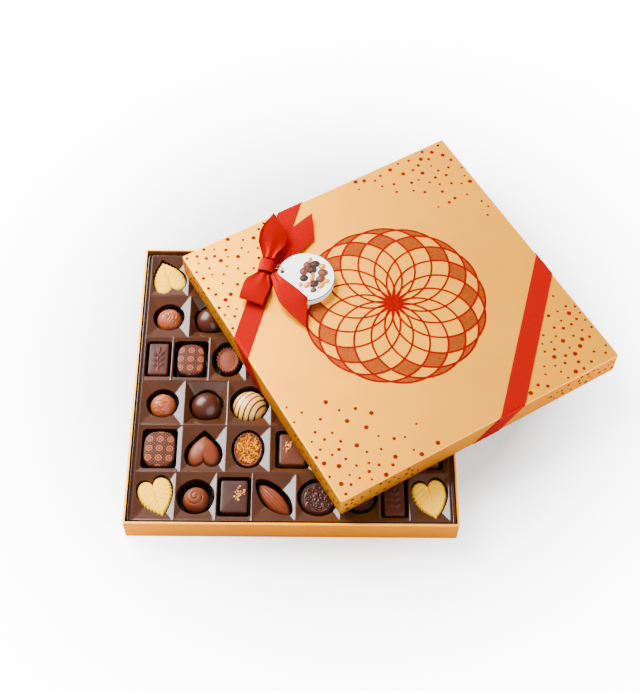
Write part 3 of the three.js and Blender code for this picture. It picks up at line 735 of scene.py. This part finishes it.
# Rows from the front to the back: the widths of the cells, and their kinds, with the turn of a turned one
MIDDLE_KINDS = ["swirl_dome", "nut_block", ("almond", ALMOND_LEAN), "floral_disc", "fluted_cup",
                "relief_bar"]
ROWS = [
    (MIXED_CELLS, [("leaf", math.pi + LEAF_LEAN), *MIDDLE_KINDS, ("leaf", math.pi + SLIGHT_LEAN)]),
    (EVEN_CELLS, ["print_barrel", "heart", "nugget_tart", "crumb_block", "nugget_tart", "heart",
                  "crumb_block"]),
    (EVEN_CELLS, ["truffle", "dark_ball", "ivory_ball", "swirl_dome", "ivory_ball", "dark_ball",
                  "truffle"]),
    (SLENDER_CELLS, ["relief_bar", "narrow_barrel", "oval_cup", "swirl_dome", "floral_disc", "fluted_cup",
                     ("almond", ALMOND_LEAN), "heart"]),
    (EVEN_CELLS, [("truffle", math.pi / 2), "dark_ball", "nugget_tart", "heart", "nugget_tart",
                  "dark_ball", ("truffle", math.pi / 2)]),
    (MIXED_CELLS, [("leaf", LEAF_LEAN), *MIDDLE_KINDS, ("leaf", SLIGHT_LEAN)]),
]


def list_cells():
    pitch = FIELD_DEPTH / len(ROWS)
    cells = []
    for row, (widths, pralines) in enumerate(ROWS):
        left = -FIELD_WIDTH / 2
        for column, (width, entry) in enumerate(zip(widths, pralines)):
            kind, turn = entry if isinstance(entry, tuple) else (entry, 0)
            x = left + width / 2
            seat = x - KINDS[kind].get("swing", 0) * math.sin(turn)
            y = -FIELD_DEPTH / 2 + (row + 0.5) * pitch
            cells.append(dict(name=f"{kind}_r{row + 1}c{column + 1}", kind=KINDS[kind], turn=turn,
                              width=width, depth=pitch, x=x, seat=seat, y=y))
            left += width
    return cells


def build_praline(cell):
    kind = cell["kind"]
    soup = Soup()
    points, faces = praline(kind["outline"], kind["profile"], kind.get("relief"), kind.get("rounds", 2),
                            kind.get("step", 0.7), kind.get("crown", 0))
    soup.add(points, faces)
    if "chunks" in kind:
        scatter(soup, **kind["chunks"])
    place = (Matrix.Translation((cell["seat"], cell["y"], PRALINE_BASE))
             @ Matrix.Rotation(cell["turn"], 4, "Z"))
    plan = [(p[0], p[1]) for p in soup.points]
    piece("praline_" + cell["name"], soup.points, soup.faces, kind["look"], [cell["name"]], place,
          soup.slots, plan)


# The insert: a thin sheet drawn down from its ridges into funnels and pockets

CORNERS = [(1, -1), (1, 1), (-1, 1), (-1, -1)]
SECTOR = 20
CREASE_REACH = 1.3
CREASE_STEPS = 400
RIDGE_ROUNDING = 0.35
# Shares of the way from the ridge to the pocket's edge
FUNNEL_SHARES = (0, 0.1, 0.2, 0.32, 0.5, 0.72, 0.9, 1)
# Rings of the pocket: the scale of each, with its drop from the edge or its rise from the floor
POCKET_EDGE = ((0.992, 0.22), (0.985, 0.8))
POCKET_WALL = ((0.965, 3), (0.95, 0.8), (0.9, 0), (0.02, 0))
RIM_STEPS = 48
# Shares of the way from the field to the insert's outer edge, with the drop there
RIM_PROFILE = ((0, 0), (0.12, 0), (0.2, 0.25), (0.3, 1.2), (0.4, 1.45), (0.52, 1.3), (0.62, 0.3),
               (0.7, 0.02), (0.86, 0), (0.95, 0.12), (1, 0.6), (1, RIDGE_HEIGHT - INSERT_BASE))


def rotate(points, angle):
    c, s = math.cos(angle), math.sin(angle)
    return points @ np.array([[c, s], [-s, c]])


def add_cell(soup, cell):
    """One cell of the insert: four funnel faces that meet in creases, and the pocket under them."""
    kind = cell["kind"]
    outline = rotate(kind["pocket"], cell["turn"])
    aside = cell["seat"] - cell["x"]
    angles = np.arctan2(outline[:, 1], outline[:, 0])
    order = np.argsort(angles)
    wide = np.concatenate([angles[order] - math.tau, angles[order], angles[order] + math.tau])
    reach = np.tile(np.linalg.norm(outline[order], axis=1), 3)
    half = np.array([cell["width"], cell["depth"]]) / 2
    top = half - RIDGE_WIDTH / 2
    mouth = (outline.max(0) - outline.min(0)) / 2 * kind["narrowing"]
    crease = []
    for sx, sy in CORNERS:
        share = np.linspace(0, CREASE_REACH, CREASE_STEPS)[:, None]
        line = (top + (mouth - top) * share) * (sx, sy) - (aside, 0)
        inside = np.linalg.norm(line, axis=1) <= np.interp(np.arctan2(line[:, 1], line[:, 0]), wide, reach)
        crease.append(line[np.argmax(inside)])
    columns = []
    for sector in range(4):
        a, b = crease[sector], crease[(sector + 1) % 4]
        angle_a, angle_b = math.atan2(a[1], a[0]), math.atan2(b[1], b[0])
        if angle_b < angle_a:
            angle_b += math.tau
        start, end = half * CORNERS[sector], half * CORNERS[(sector + 1) % 4]
        for step in range(SECTOR):
            t = step / SECTOR
            angle = angle_a + (angle_b - angle_a) * t
            rim = np.interp(angle, wide, reach) * np.array([math.cos(angle), math.sin(angle)]) + (aside, 0)
            columns.append((start + (end - start) * t, rim, sector % 2))
    rings = []
    for share in FUNNEL_SHARES:
        ring = []
        for edge, rim, axis in columns:
            point = edge + (rim - edge) * share
            slope = top[axis] - mouth[axis]
            depth = (top[axis] - abs(point[axis])) / slope
            sunk = 0.5 * (depth + math.hypot(depth, RIDGE_ROUNDING / slope)) if share else 0
            ring.append((point[0], point[1], RIDGE_HEIGHT - kind["funnel"] * sunk))
        rings.append(ring)
    edge_ring = rings[-1]
    for scale, drop in POCKET_EDGE:
        rings.append([(aside + (x - aside) * scale, y * scale, z - drop) for x, y, z in edge_ring])
    for scale, rise in POCKET_WALL:
        height = POCKET_FLOOR + rise
        rings.append([(aside + (x - aside) * scale, y * scale, height) for x, y, z in edge_ring])
    faces = grid_faces(len(rings), len(columns), wrap=True)
    # The pocket's faces below the funnel take slot 1, a painted-shade copy of the sheet.
    unshaded_faces = len(FUNNEL_SHARES) * len(columns)
    soup.add(np.array(rings).reshape(-1, 3) + (cell["x"], cell["y"], 0), faces,
             [0] * unshaded_faces + [1] * (len(faces) - unshaded_faces))


def square_ring(half_x, half_y, corner, count):
    """Points of a rounded rectangle, by sectors that start at its corners."""
    ring = []
    for sector in range(4):
        (ax, ay), (bx, by) = CORNERS[sector], CORNERS[(sector + 1) % 4]
        for step in range(count):
            t = step / count
            x = half_x * (ax + (bx - ax) * t)
            y = half_y * (ay + (by - ay) * t)
            dx, dy = abs(x) - (half_x - corner), abs(y) - (half_y - corner)
            if corner and dx > 0 and dy > 0:
                size = math.hypot(dx, dy)
                x = math.copysign(half_x - corner + corner * dx / size, x)
                y = math.copysign(half_y - corner + corner * dy / size, y)
            ring.append((x, y))
    return ring


def build_insert(cells):
    soup = Soup()
    for cell in cells:
        add_cell(soup, cell)
    inner = np.array(square_ring(FIELD_WIDTH / 2, FIELD_DEPTH / 2, 0, RIM_STEPS))
    outer = np.array(square_ring(INSERT_SIDE / 2, INSERT_SIDE / 2, INSERT_CORNER, RIM_STEPS))
    rings = []
    for share, drop in RIM_PROFILE:
        flat = inner + (outer - inner) * share
        rings.append(np.column_stack([flat, np.full(len(flat), RIDGE_HEIGHT - drop)]))
    soup.add(np.vstack(rings), flipped(grid_faces(len(rings), 4 * RIM_STEPS, wrap=True)))
    piece("insert_sheet", soup.points, soup.faces, ["sheet", "pocket"], ["insert"], slots=soup.slots,
          sharp=28)


# The ribbon

def strip_mesh(name, rows, node, place=LID_TOP_FRAME):
    """A strip of satin from rows of points along its length, with its two faces and its edges."""
    rows = np.asarray(rows, float)
    steps, across, _ = rows.shape
    along = np.gradient(rows, axis=0)
    side = np.gradient(rows, axis=1)
    normal = np.cross(along, side)
    normal /= np.maximum(np.linalg.norm(normal, axis=2, keepdims=True), 1e-9)
    top, under = rows + normal * RIBBON_THICKNESS / 2, rows - normal * RIBBON_THICKNESS / 2
    points = np.vstack([top.reshape(-1, 3), under.reshape(-1, 3)])
    first = steps * across
    faces = grid_faces(steps, across)
    faces = flipped(faces) + [tuple(first + k for k in f) for f in faces]
    border = [(r, 0) for r in range(steps)] + [(steps - 1, c) for c in range(1, across)]
    border += [(r, across - 1) for r in range(steps - 2, -1, -1)] + [(0, c) for c in range(across - 2, 0, -1)]
    ids = [r * across + c for r, c in border]
    for a, b in zip(ids, ids[1:] + ids[:1]):
        faces.append((a, b, first + b, first + a))
    length = np.concatenate([[0], np.cumsum(np.linalg.norm(np.diff(rows[:, across // 2], axis=0), axis=1))])
    width = np.linspace(0, 1, across)
    plan = [(length[r], width[c] * BAND_WIDTH) for r in range(steps) for c in range(across)]
    obj = piece(name, points, faces, ["satin"], [node], place, uv=plan + plan, sharp=60)
    return obj, float(length[-1])


def spline(points, count):
    """A smooth path through the points."""
    points = np.asarray(points, float)
    padded = np.vstack([2 * points[0] - points[1], points, 2 * points[-1] - points[-2]])
    at = np.linspace(0, len(points) - 1, count)
    k = np.minimum(at.astype(int), len(points) - 2)
    t = (at - k)[:, None]
    a, b, c, d = padded[k], padded[k + 1], padded[k + 2], padded[k + 3]
    return 0.5 * (2 * b + (c - a) * t + (2 * a - 5 * b + 4 * c - d) * t ** 2
                  + (3 * b - a - 3 * c + d) * t ** 3)


BEND_STEP = 0.3


def build_band():
    """One closed loop: four like quarters, each from the middle of a top length over the edge, down
    the wall and round the rim to the middle of a lower length."""
    edge = LID_SIDE / 2 + GAP + RIBBON_THICKNESS / 2
    top = LID_HEIGHT + GAP + RIBBON_THICKNESS / 2
    bottom = -GAP - RIBBON_THICKNESS / 2
    fall = top - bottom
    root = math.sqrt(2)

    def section(beyond):
        if beyond < 0:
            return -edge - beyond, top
        if beyond < fall:
            return -edge, top - beyond
        return -edge + beyond - fall, bottom

    quarter_length = root * (edge + fall / 2)
    steps, across = 150, 9
    quarter = np.zeros((steps, across, 3))
    for r in range(steps):
        for c in range(across):
            u = quarter_length * r / (steps - 1)
            v = BAND_WIDTH * (c / (across - 1) - 0.5)
            flat_x = -BAND_OFFSET / 2 - (u + v) / root
            flat_y = BAND_OFFSET / 2 - (u - v) / root
            beyond = -edge - flat_x
            near = [section(beyond + k * BEND_STEP) for k in (-2, -1, 0, 1, 2)]
            x, z = sum(p[0] for p in near) / 5, sum(p[1] for p in near) / 5
            quarter[r, c] = (x, flat_y, z)
    swapped = quarter[:, :, [1, 0, 2]]
    turned_back = quarter * (-1, -1, 1)
    turned_swap = swapped * (-1, -1, 1)
    loop = np.vstack([quarter[:-1], swapped[::-1][:-1], turned_back[:-1], turned_swap[::-1]])
    obj, length = strip_mesh("ribbon_band_cloth", loop, "ribbon_band", place=LID_FRAME)


def loop_rows(start, heading, length, rise, lift, lean, width, gathered, tip_width, pleat, part, slant):
    """The rows of a bow loop, as the solid has them, with the pleats that the knot presses into it."""
    steps, across = 72, 17
    along = np.array([math.cos(heading), math.sin(heading), 0])
    side = np.array([-math.sin(heading), math.cos(heading), 0])
    rows = np.zeros((steps + 1, across, 3))
    for step in range(steps + 1):
        t = step / steps
        out = (1 - math.cos(math.tau * t)) / 2
        apart = math.sin(math.tau * t) * math.sin(math.pi * t) ** 0.6
        spread = float(smoothstep(0, 0.45, out))
        taper = float(smoothstep(0.6, 1, out))
        wide = (gathered + (width - gathered) * spread) * (1 - taper) + tip_width * taper
        centre = np.array(start) + along * length * out - side * part * apart
        centre[2] += lift * out + rise * apart / 2 + (0.5 - t) * 2.4 * (1 - out)
        tilt = lean * spread
        edge = side * math.cos(tilt) + along * slant * taper + np.array([0, 0, math.sin(tilt)])
        held = float(smoothstep(0.62, 0.02, out))
        for c in range(across):
            v = c / (across - 1) - 0.5
            fold = pleat * held * (math.sin(v * 3.6 * math.pi + 0.6) + 0.5 * math.cos(v * 9.5 - 3 * out))
            bow = 0.9 * spread * (1 - taper) * math.cos(math.pi * v)
            raised = fold * 0.5 + bow * (1 if t < 0.5 else -0.3)
            rows[step, c] = centre + edge * wide * v + np.array([0, 0, raised])
    return rows


def tail_rows(stations, pleat):
    """The rows of a tail through stations of (centre, edge vector), pleated where the knot holds it."""
    steps, across = 48, 17
    centres = spline([s[0:3] for s in stations], steps)
    edges = spline([s[3:6] for s in stations], steps)
    rows = np.zeros((steps, across, 3))
    for r in range(steps):
        t = r / (steps - 1)
        for c in range(across):
            v = 2 * c / (across - 1) - 1
            fold = pleat * max(0, 1 - 2.2 * t) * math.sin(v * 2.1 * math.pi)
            raised = fold + 0.5 * math.cos(v * 1.5) * min(1, 3 * t)
            rows[r, c] = centres[r] + edges[r] * v + np.array([0, 0, raised])
    return rows


BOW_PLEAT = 1.1
UPPER_LOOP = dict(start=(-82.2, 103.2, 7.8), heading=math.radians(50), length=46, rise=6, lift=5,
                  lean=math.radians(16), width=24, gathered=11, tip_width=10, pleat=BOW_PLEAT, part=2.6,
                  slant=0.9)
LOWER_LOOP = dict(start=(-94.2, 91.4, 5.4), heading=math.radians(221), length=35, rise=6.4, lift=1,
                  lean=math.radians(-6), width=25, gathered=12, tip_width=24, pleat=BOW_PLEAT, part=0.8,
                  slant=0)
# Stations of the tails: the centre, and half the way across the ribbon
UPPER_TAIL = [
    (-78.6, 99.6, 2.4, -2.2, 4.6, 0.2), (-68, 104, 2.4, -3.4, 8.4, 0.2), (-53, 109.6, 2.5, -3.6, 11.8, 0.2),
    (-38, 115, 2.7, -3, 12.2, 0.6), (-23, 118.6, 3, 7, 14, 1.2),
]
LOWER_TAIL = [
    (-87.2, 84.6, 9.2, -3.6, -0.4, 0), (-88.6, 77, 11.2, -4.8, -1.2, -0.4),
    (-89, 68, 11.8, -7.2, -1.4, -1.2), (-87.6, 54.4, 10.6, -10.6, -1.4, -2),
    (-85, 43.4, 9.2, -10.6, -3.2, -2.6), (-80.9, 30.9, 6.8, -8, -12.4, -3.6),
]


def build_bow():
    for name, rows, node, lies_on in (
        ("bow_upper_loop_cloth", loop_rows(**UPPER_LOOP), "bow_loop_upper", ["bow_knot_cloth"]),
        ("bow_lower_loop_cloth", loop_rows(**LOWER_LOOP), "bow_loop_lower", ["bow_knot_cloth"]),
        ("bow_upper_tail_cloth", tail_rows(UPPER_TAIL, 0.5), "bow_tail_upper", ["lid"]),
        ("bow_lower_tail_cloth", tail_rows(LOWER_TAIL, 0.8), "bow_tail_lower", ["tag_cover"]),
    ):
        obj, length = strip_mesh(name, rows, node)


KNOT_CENTRE = (-88, 97, 0)


def build_knot():
    """A short wrap of ribbon over the bow's middle: an arch with its own edges, lightly creased."""
    across, along, low, high = 16, 13.5, 1.05, 10
    stations, arch = 25, 48
    points = []
    for k in range(stations):
        x = along * (k / (stations - 1) - 0.5)
        crease = 0.3 * math.exp(-((x - 2.4) / 0.9) ** 2) + 0.22 * math.exp(-((x + 3.1) / 0.8) ** 2)
        end = 0.35 * (abs(x) / along * 2) ** 8
        for c in range(arch):
            angle = math.pi * c / (arch - 1)
            up, out = abs(math.sin(angle)), math.cos(angle)
            reach = across / 2 - end - crease * 0.5
            y = reach * math.copysign(abs(out) ** 0.62, out) + 0.09 * x
            z = low + (high - low - crease - end) * up ** 0.6
            points.append((x, y, z))
    faces = flipped(grid_faces(stations, arch, wrap=True)) + end_caps(stations, arch)
    place = LID_TOP_FRAME @ Matrix.Translation(KNOT_CENTRE) @ Matrix.Rotation(math.pi / 4, 4, "Z")
    piece("bow_knot_cloth", points, faces, ["satin"], ["bow_knot"], place,
          uv=[(p[1] + 8, p[0] + 7) for p in points], sharp=50)


# The tag

def disc(soup, centre, radius_x, radius_y, turn, low, high, slot, count=40, hole=None):
    """A flat disc with a softened rim; a hole, if any, is a ring of its own."""
    c, s = math.cos(turn), math.sin(turn)
    rings = []
    edge = min(0.25, (high - low) / 3)
    for reach, height in ((1, low), (1, high - edge), (1 - edge / radius_x, high)):
        ring = []
        for k in range(count):
            a = math.tau * k / count
            x, y = radius_x * reach * math.cos(a), radius_y * reach * math.sin(a)
            ring.append((centre[0] + c * x - s * y, centre[1] + s * x + c * y, height))
        rings.append(ring)
    points = [p for ring in rings for p in ring]
    faces = grid_faces(3, count, wrap=True)
    if hole is None:
        faces.append(tuple(2 * count + k for k in range(count)))
        faces.append(tuple(reversed(range(count))))
    else:
        inner = []
        for k in range(count):
            a = math.tau * k / count
            inner.append((hole[0] + hole[2] * math.cos(a), hole[1] + hole[2] * math.sin(a)))
        shift = nearest_shift(rings[0], inner)
        inner = inner[shift:] + inner[:shift]
        first = len(points)
        points += [(x, y, low) for x, y in inner] + [(x, y, high) for x, y in inner]
        for k in range(count):
            n = (k + 1) % count
            faces.append((2 * count + k, 2 * count + n, first + count + n, first + count + k))
            faces.append((first + count + k, first + count + n, first + n, first + k))
            faces.append((first + k, first + n, n, k))
    soup.add(points, faces, slot)


def nearest_shift(ring, inner):
    """How far to roll the inner ring so that its points face those of the outer one."""
    costs = [sum(math.dist(ring[k][:2], inner[(k + shift) % len(inner)]) for k in range(0, len(ring), 5))
             for shift in range(len(inner))]
    return costs.index(min(costs))


LEAF_COUNT = 5
LEAF_SHARE = 0.82
HOLE_RADIUS = 2.0
RIM_DROP = 0.12
INK_DROP = 0.04
INK_STEP = 0.012
LIGHT_STEP = 0.008
TAG_SLOTS = ["card", "rim", "ink_brown", "ink_dark", "ink_gold", "ink_cream", "ink_rose"]
# Printed sweets on the tag: centre, half sizes, turn in degrees and slot of each oval
TAG_PRINT = [
    (8, 11, 4.6, 3.6, 20, 2), (15, 8, 5.0, 4.2, -15, 3), (19.5, 2, 3.8, 3.4, 0, 4),
    (1.5, 6, 4.8, 4.2, 40, 2), (9, 3.5, 5.0, 4.6, 0, 3), (16.5, -4.5, 5.2, 4.4, -30, 2),
    (-2.5, -1, 4.4, 4.0, 0, 3), (5, -4, 5.6, 2.6, 50, 4), (11, -9.5, 5.0, 4.0, 10, 2),
    (2.5, -11.5, 5.0, 4.2, 0, 3), (-4, -9.5, 4.0, 3.0, 20, 4), (7.5, -16.5, 4.6, 3.0, 20, 4),
    (-1.5, -17.5, 3.4, 2.6, 0, 2), (14.5, -15, 3.2, 2.6, 0, 4), (13, 14.5, 3.4, 2.2, 30, 4),
    (-9, -6, 2.8, 2.0, 60, 4),
]
# The slot of the light on an oval, by the oval's slot
PRINT_LIGHT = {2: 6, 3: 2, 4: 5}


def build_tag():
    leaves = Soup()
    pitch = TAG_LEAVES / LEAF_COUNT
    hole = (*TAG_HOLE, HOLE_RADIUS)
    cx, cy = TAG_CENTRE
    for k in range(LEAF_COUNT):
        centre = (cx + 0.25 * math.sin(2.1 * k), cy + 0.25 * math.cos(1.7 * k))
        disc(leaves, centre, TAG_RADIUS - 0.6, TAG_RADIUS - 0.6, 0, TAG_BASE + k * pitch,
             TAG_BASE + (k + LEAF_SHARE) * pitch, 0, 64, hole)
    piece("tag_leaves_card", leaves.points, leaves.faces, ["leaf_card"], ["tag_leaves"], LID_TOP_FRAME)
    cover = Soup()
    low = TAG_BASE + TAG_LEAVES + GAP
    high = low + TAG_COVER
    disc(cover, TAG_CENTRE, TAG_RADIUS, TAG_RADIUS, 0, low, high - RIM_DROP, 1, 64, hole)
    disc(cover, TAG_CENTRE, TAG_RADIUS - 0.7, TAG_RADIUS - 0.7, 0, high - RIM_DROP, high - INK_DROP, 0, 64,
         hole)
    for k, (x, y, rx, ry, turn, slot) in enumerate(TAG_PRINT):
        angle, base = math.radians(turn), high - INK_DROP
        print_top = high + INK_STEP * (k + 1)
        disc(cover, (cx + x, cy + y), rx, ry, angle, base, print_top, slot, 24)
        disc(cover, (cx + x - 0.25 * rx, cy + y + 0.3 * ry), rx * 0.5, ry * 0.4, angle, base,
             print_top + LIGHT_STEP, PRINT_LIGHT[slot], 20)
    piece("tag_cover_card", cover.points, cover.faces, TAG_SLOTS, ["tag_cover"], LID_TOP_FRAME, cover.slots)


THREAD_SIDES = 10
THREAD_TWIST = 0.35
THREAD_ROUTE = [
    (-79.4, 91.8, 6.4), (-77.6, 89.4, 10.2), (-77.2, 85.4, 11), (-77.8, 82.6, 9.4), (-78, 82, 6),
    (-78.6, 81.6, 4.6), (-79.2, 82, 6), (-79.4, 82.7, 9.4), (-80.6, 85.2, 11), (-82, 88, 9.8),
    (-82.4, 90.4, 6.4),
]


def build_thread():
    """A thin twisted elastic from the knot through the tag's hole and back."""
    route = spline(THREAD_ROUTE, 90)
    points = []
    for k, centre in enumerate(route):
        along = Vector(route[min(k + 1, len(route) - 1)] - route[max(k - 1, 0)]).normalized()
        side = along.cross(Vector((0.3, 0.2, 1))).normalized()
        up = side.cross(along)
        for c in range(THREAD_SIDES):
            angle = math.tau * c / THREAD_SIDES + THREAD_TWIST * k
            offset = (side * math.cos(angle) + up * math.sin(angle)) * THREAD_DIAMETER / 2
            points.append(Vector(centre) + offset)
    faces = grid_faces(len(route), THREAD_SIDES, wrap=True) + end_caps(len(route), THREAD_SIDES)
    obj = piece("tag_thread_cord", points, faces, ["thread"], ["tag_thread"], LID_TOP_FRAME)


# The print on the lid: a rosette of circles through one point, and dots strewn at the corners

ROSETTE_CIRCLES = 16
ROSETTE_RADIUS = 44.5
ROSETTE_STEPS = 96
ROSETTE_FILLED = (0, 2)
ROSETTE_CENTRE = (-1, 3)
LINE_WIDTH = 2.0
PRINT_LIFT = 0.05


def build_rosette():
    soup = Soup()
    delta = math.tau / ROSETTE_CIRCLES
    cx, cy = ROSETTE_CENTRE

    def on_circle(k, angle):
        """The point of circle k that is seen from the centre at that angle."""
        reach = 2 * ROSETTE_RADIUS * math.cos(angle - k * delta)
        return cx + reach * math.cos(angle), cy + reach * math.sin(angle)

    def cell(a, apart):
        """The curved cell whose outer tip is where circles a and a + apart cross."""
        b, steps, edge = a + apart, 8, []
        middle = (a + b) * delta / 2
        for circle, start, end in ((a, 0, 1), (b + 1, 1, 0), (a - 1, 0, -1), (b, -1, 0)):
            for s in range(steps):
                edge.append(on_circle(circle, middle + (start + (end - start) * s / steps) * delta / 2))
        return edge

    for apart in ROSETTE_FILLED:
        for k in range(ROSETTE_CIRCLES):
            edge = cell(k, apart)
            middle = (sum(p[0] for p in edge) / len(edge), sum(p[1] for p in edge) / len(edge))
            points = [(*p, PRINT_LIFT) for p in edge] + [(*middle, PRINT_LIFT)]
            soup.add(points, [(n, (n + 1) % len(edge), len(edge)) for n in range(len(edge))], 1)
    count = ROSETTE_STEPS
    for k in range(ROSETTE_CIRCLES):
        ring = []
        for s in range(count):
            angle = math.tau * s / count
            for reach in (ROSETTE_RADIUS - LINE_WIDTH / 2, ROSETTE_RADIUS + LINE_WIDTH / 2):
                ring.append((cx + ROSETTE_RADIUS * math.cos(k * delta) + reach * math.cos(angle),
                             cy + ROSETTE_RADIUS * math.sin(k * delta) + reach * math.sin(angle),
                             PRINT_LIFT + 0.03 + 0.002 * k))
        soup.add(ring, [(2 * s, 2 * s + 1, (2 * s + 3) % (2 * count), (2 * s + 2) % (2 * count))
                        for s in range(count)], 0)
    piece("rosette_print", soup.points, soup.faces, ["line", "copper"], (), LID_TOP_FRAME, soup.slots)


DOT_SIDES = 14
# Rings of a dot under its tip: the share of its radius, and the height
DOT_TIP = 0.22
DOT_RINGS = ((0.6, 0.17), (1, 0))
DOTS_AT_CORNER = 46
DOT_TRIES = 4000
DOT_APART = 8
DOT_FALLOFF = 74
DOT_CLEAR_OF_BAND = 16
WALL_DOT_TRIES = 60
WALL_DOT_APART = 5.5
WALL_DOTS_FROM = 70


def build_dots():
    """Dots on the lid's corners, thick near each corner and thinner away from it, and down the walls."""
    draw = random.Random(31)
    soup = Soup()
    half = LID_SIDE / 2
    placed = []

    def dot(x, y, radius, frame_matrix, slot):
        """A low foil dome."""
        points = [(0, 0, DOT_TIP)]
        for reach, height in DOT_RINGS:
            for k in range(DOT_SIDES):
                angle = math.tau * k / DOT_SIDES
                points.append((reach * radius * math.cos(angle), reach * radius * math.sin(angle), height))
        points = [frame_matrix @ Vector((x + p[0], y + p[1], p[2])) for p in points]
        faces = [(0, k + 1, (k + 1) % DOT_SIDES + 1) for k in range(DOT_SIDES)]
        soup.add(points, faces + grid_faces(2, DOT_SIDES, wrap=True, first=1), slot)

    for sx, sy in CORNERS:
        wanted, tries = DOTS_AT_CORNER, 0
        while wanted and tries < DOT_TRIES:
            tries += 1
            a, b = draw.uniform(3, 112), draw.uniform(3, 112)
            if draw.random() > math.exp(-((a + b) / DOT_FALLOFF) ** 2.6):
                continue
            x, y = sx * (half - a), sy * (half - b)
            radius = draw.choice((1.2, 1.4, 1.6, 1.8, 2.3))
            inside_band = sx != sy and abs(x - y) < BAND_OFFSET + DOT_CLEAR_OF_BAND
            if inside_band or any(math.dist((x, y), p) < DOT_APART for p in placed):
                continue
            placed.append((x, y))
            dot(x, y, radius, Matrix.Translation((0, 0, LID_HEIGHT + PRINT_LIFT)), 0)
            wanted -= 1
    for side in range(4):
        wall = (Matrix.Rotation(side * math.pi / 2, 4, "Z")
                @ Matrix.Translation((0, -half - PRINT_LIFT, 0)) @ Matrix.Rotation(math.pi / 2, 4, "X"))
        placed = []
        for end in (-1, 1):
            for _ in range(WALL_DOT_TRIES):
                out = 4 + 92 * draw.random() ** 1.4
                height = draw.uniform(4, LID_HEIGHT - 4)
                x = end * (half - out)
                near = any(math.dist((x, height), p) < WALL_DOT_APART for p in placed)
                if abs(x) < WALL_DOTS_FROM or near:
                    continue
                placed.append((x, height))
                # Slot 1 darkens the wall dots: painted shade on the upright walls.
                dot(x, height, draw.choice((1.1, 1.4, 1.7)), wall, 1)
    piece("corner_dots", soup.points, soup.faces, ["dot", "painted_shade_wall_dot"], (), LID_FRAME, soup.slots)


# Build everything
for node in ("tray", "lid"):
    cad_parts[node].data.materials.clear()
    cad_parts[node].data.materials.append(looks["gold_" + node].material)
all_cells = list_cells()
build_insert(all_cells)
for one_cell in all_cells:
    build_praline(one_cell)
build_band()
build_bow()
build_knot()
build_tag()
build_thread()
build_rosette()
build_dots()


# The stage, in metres: a white floor whose painted glow fades to nothing near the box, a large soft light on
# the left, and weaker fill

FLOOR_SIZE = 4.0
FLOOR_HEIGHT = -0.0005
GLOW_CENTRE = (0.05, 0.06, 0)
GLOW_STRENGTH = 14.0
# The floor's glow: a distance from its centre, and the share of its strength there
GLOW = ((0.19, 0), (0.24, 0.16), (0.3, 0.4), (0.4, 0.7), (0.6, 1), (0.9, 0.9), (1.8, 0.12), (3.6, 0.02))
LIGHT_AIM = Vector((0.05, 0.0, 0.03))


def add_floor():
    mesh = bpy.data.meshes.new("floor")
    size, z = FLOOR_SIZE, FLOOR_HEIGHT
    mesh.from_pydata([(-size, -size, z), (size, -size, z), (size, size, z), (-size, size, z)],
                     [], [(0, 1, 2, 3)])
    white = surface("floor_white", (0.93, 0.93, 0.94), 0.6, vary=0.004, grain=20, bump=0.0)
    reach = white.distance(white.node("TexCoord").outputs["Object"], GLOW_CENTRE)
    share = white.calc("MULTIPLY", reach, 1 / FLOOR_SIZE)
    stops = [(distance / FLOOR_SIZE, (level, level, level)) for distance, level in GLOW]
    # Painted glow: the floor emits light, dark close to the box and bright further out.
    white.feed(white.shader, "Emission Color", white.ramp(share, stops))
    white.feed(white.shader, "Emission Strength", GLOW_STRENGTH)
    mesh.materials.append(white.material)
    put("floor", mesh)


def add_area(name, direction, distance, size, radiance):
    light = bpy.data.lights.new(name, "AREA")
    light.shape = "RECTANGLE"
    light.size, light.size_y = size
    light.energy = radiance * math.pi * size[0] * size[1]
    obj = put(name, light)
    obj.location = LIGHT_AIM + Vector(direction).normalized() * distance
    obj.rotation_euler = (LIGHT_AIM - obj.location).to_track_quat("-Z", "Y").to_euler()


def add_world(strength):
    world = bpy.data.worlds.new("studio")
    world.use_nodes = True
    background = world.node_tree.nodes["Background"]
    background.inputs["Color"].default_value = (1, 1, 1, 1)
    background.inputs["Strength"].default_value = strength
    bpy.context.scene.world = world


def add_camera():
    camera = bpy.data.cameras.new("camera")
    camera.sensor_fit = "VERTICAL"
    camera.sensor_height = SENSOR
    camera.lens = CAMERA_LENS
    obj = put("camera", camera)
    obj.location = Vector(CAMERA_PLACE) * MM
    obj.rotation_euler = tuple(map(math.radians, CAMERA_TURN))
    bpy.context.scene.camera = obj


add_floor()
add_world(0.6)
add_area("key_light", (-0.62, 0.5, 0.62), 1.9, (1.5, 1.4), 32.0)
add_area("back_light", (0.1, 0.95, 0.32), 1.9, (2.0, 0.7), 2.0)
add_area("front_light", (0.5, -0.62, 0.62), 2.2, (2.6, 2.2), 5.0)
add_camera()
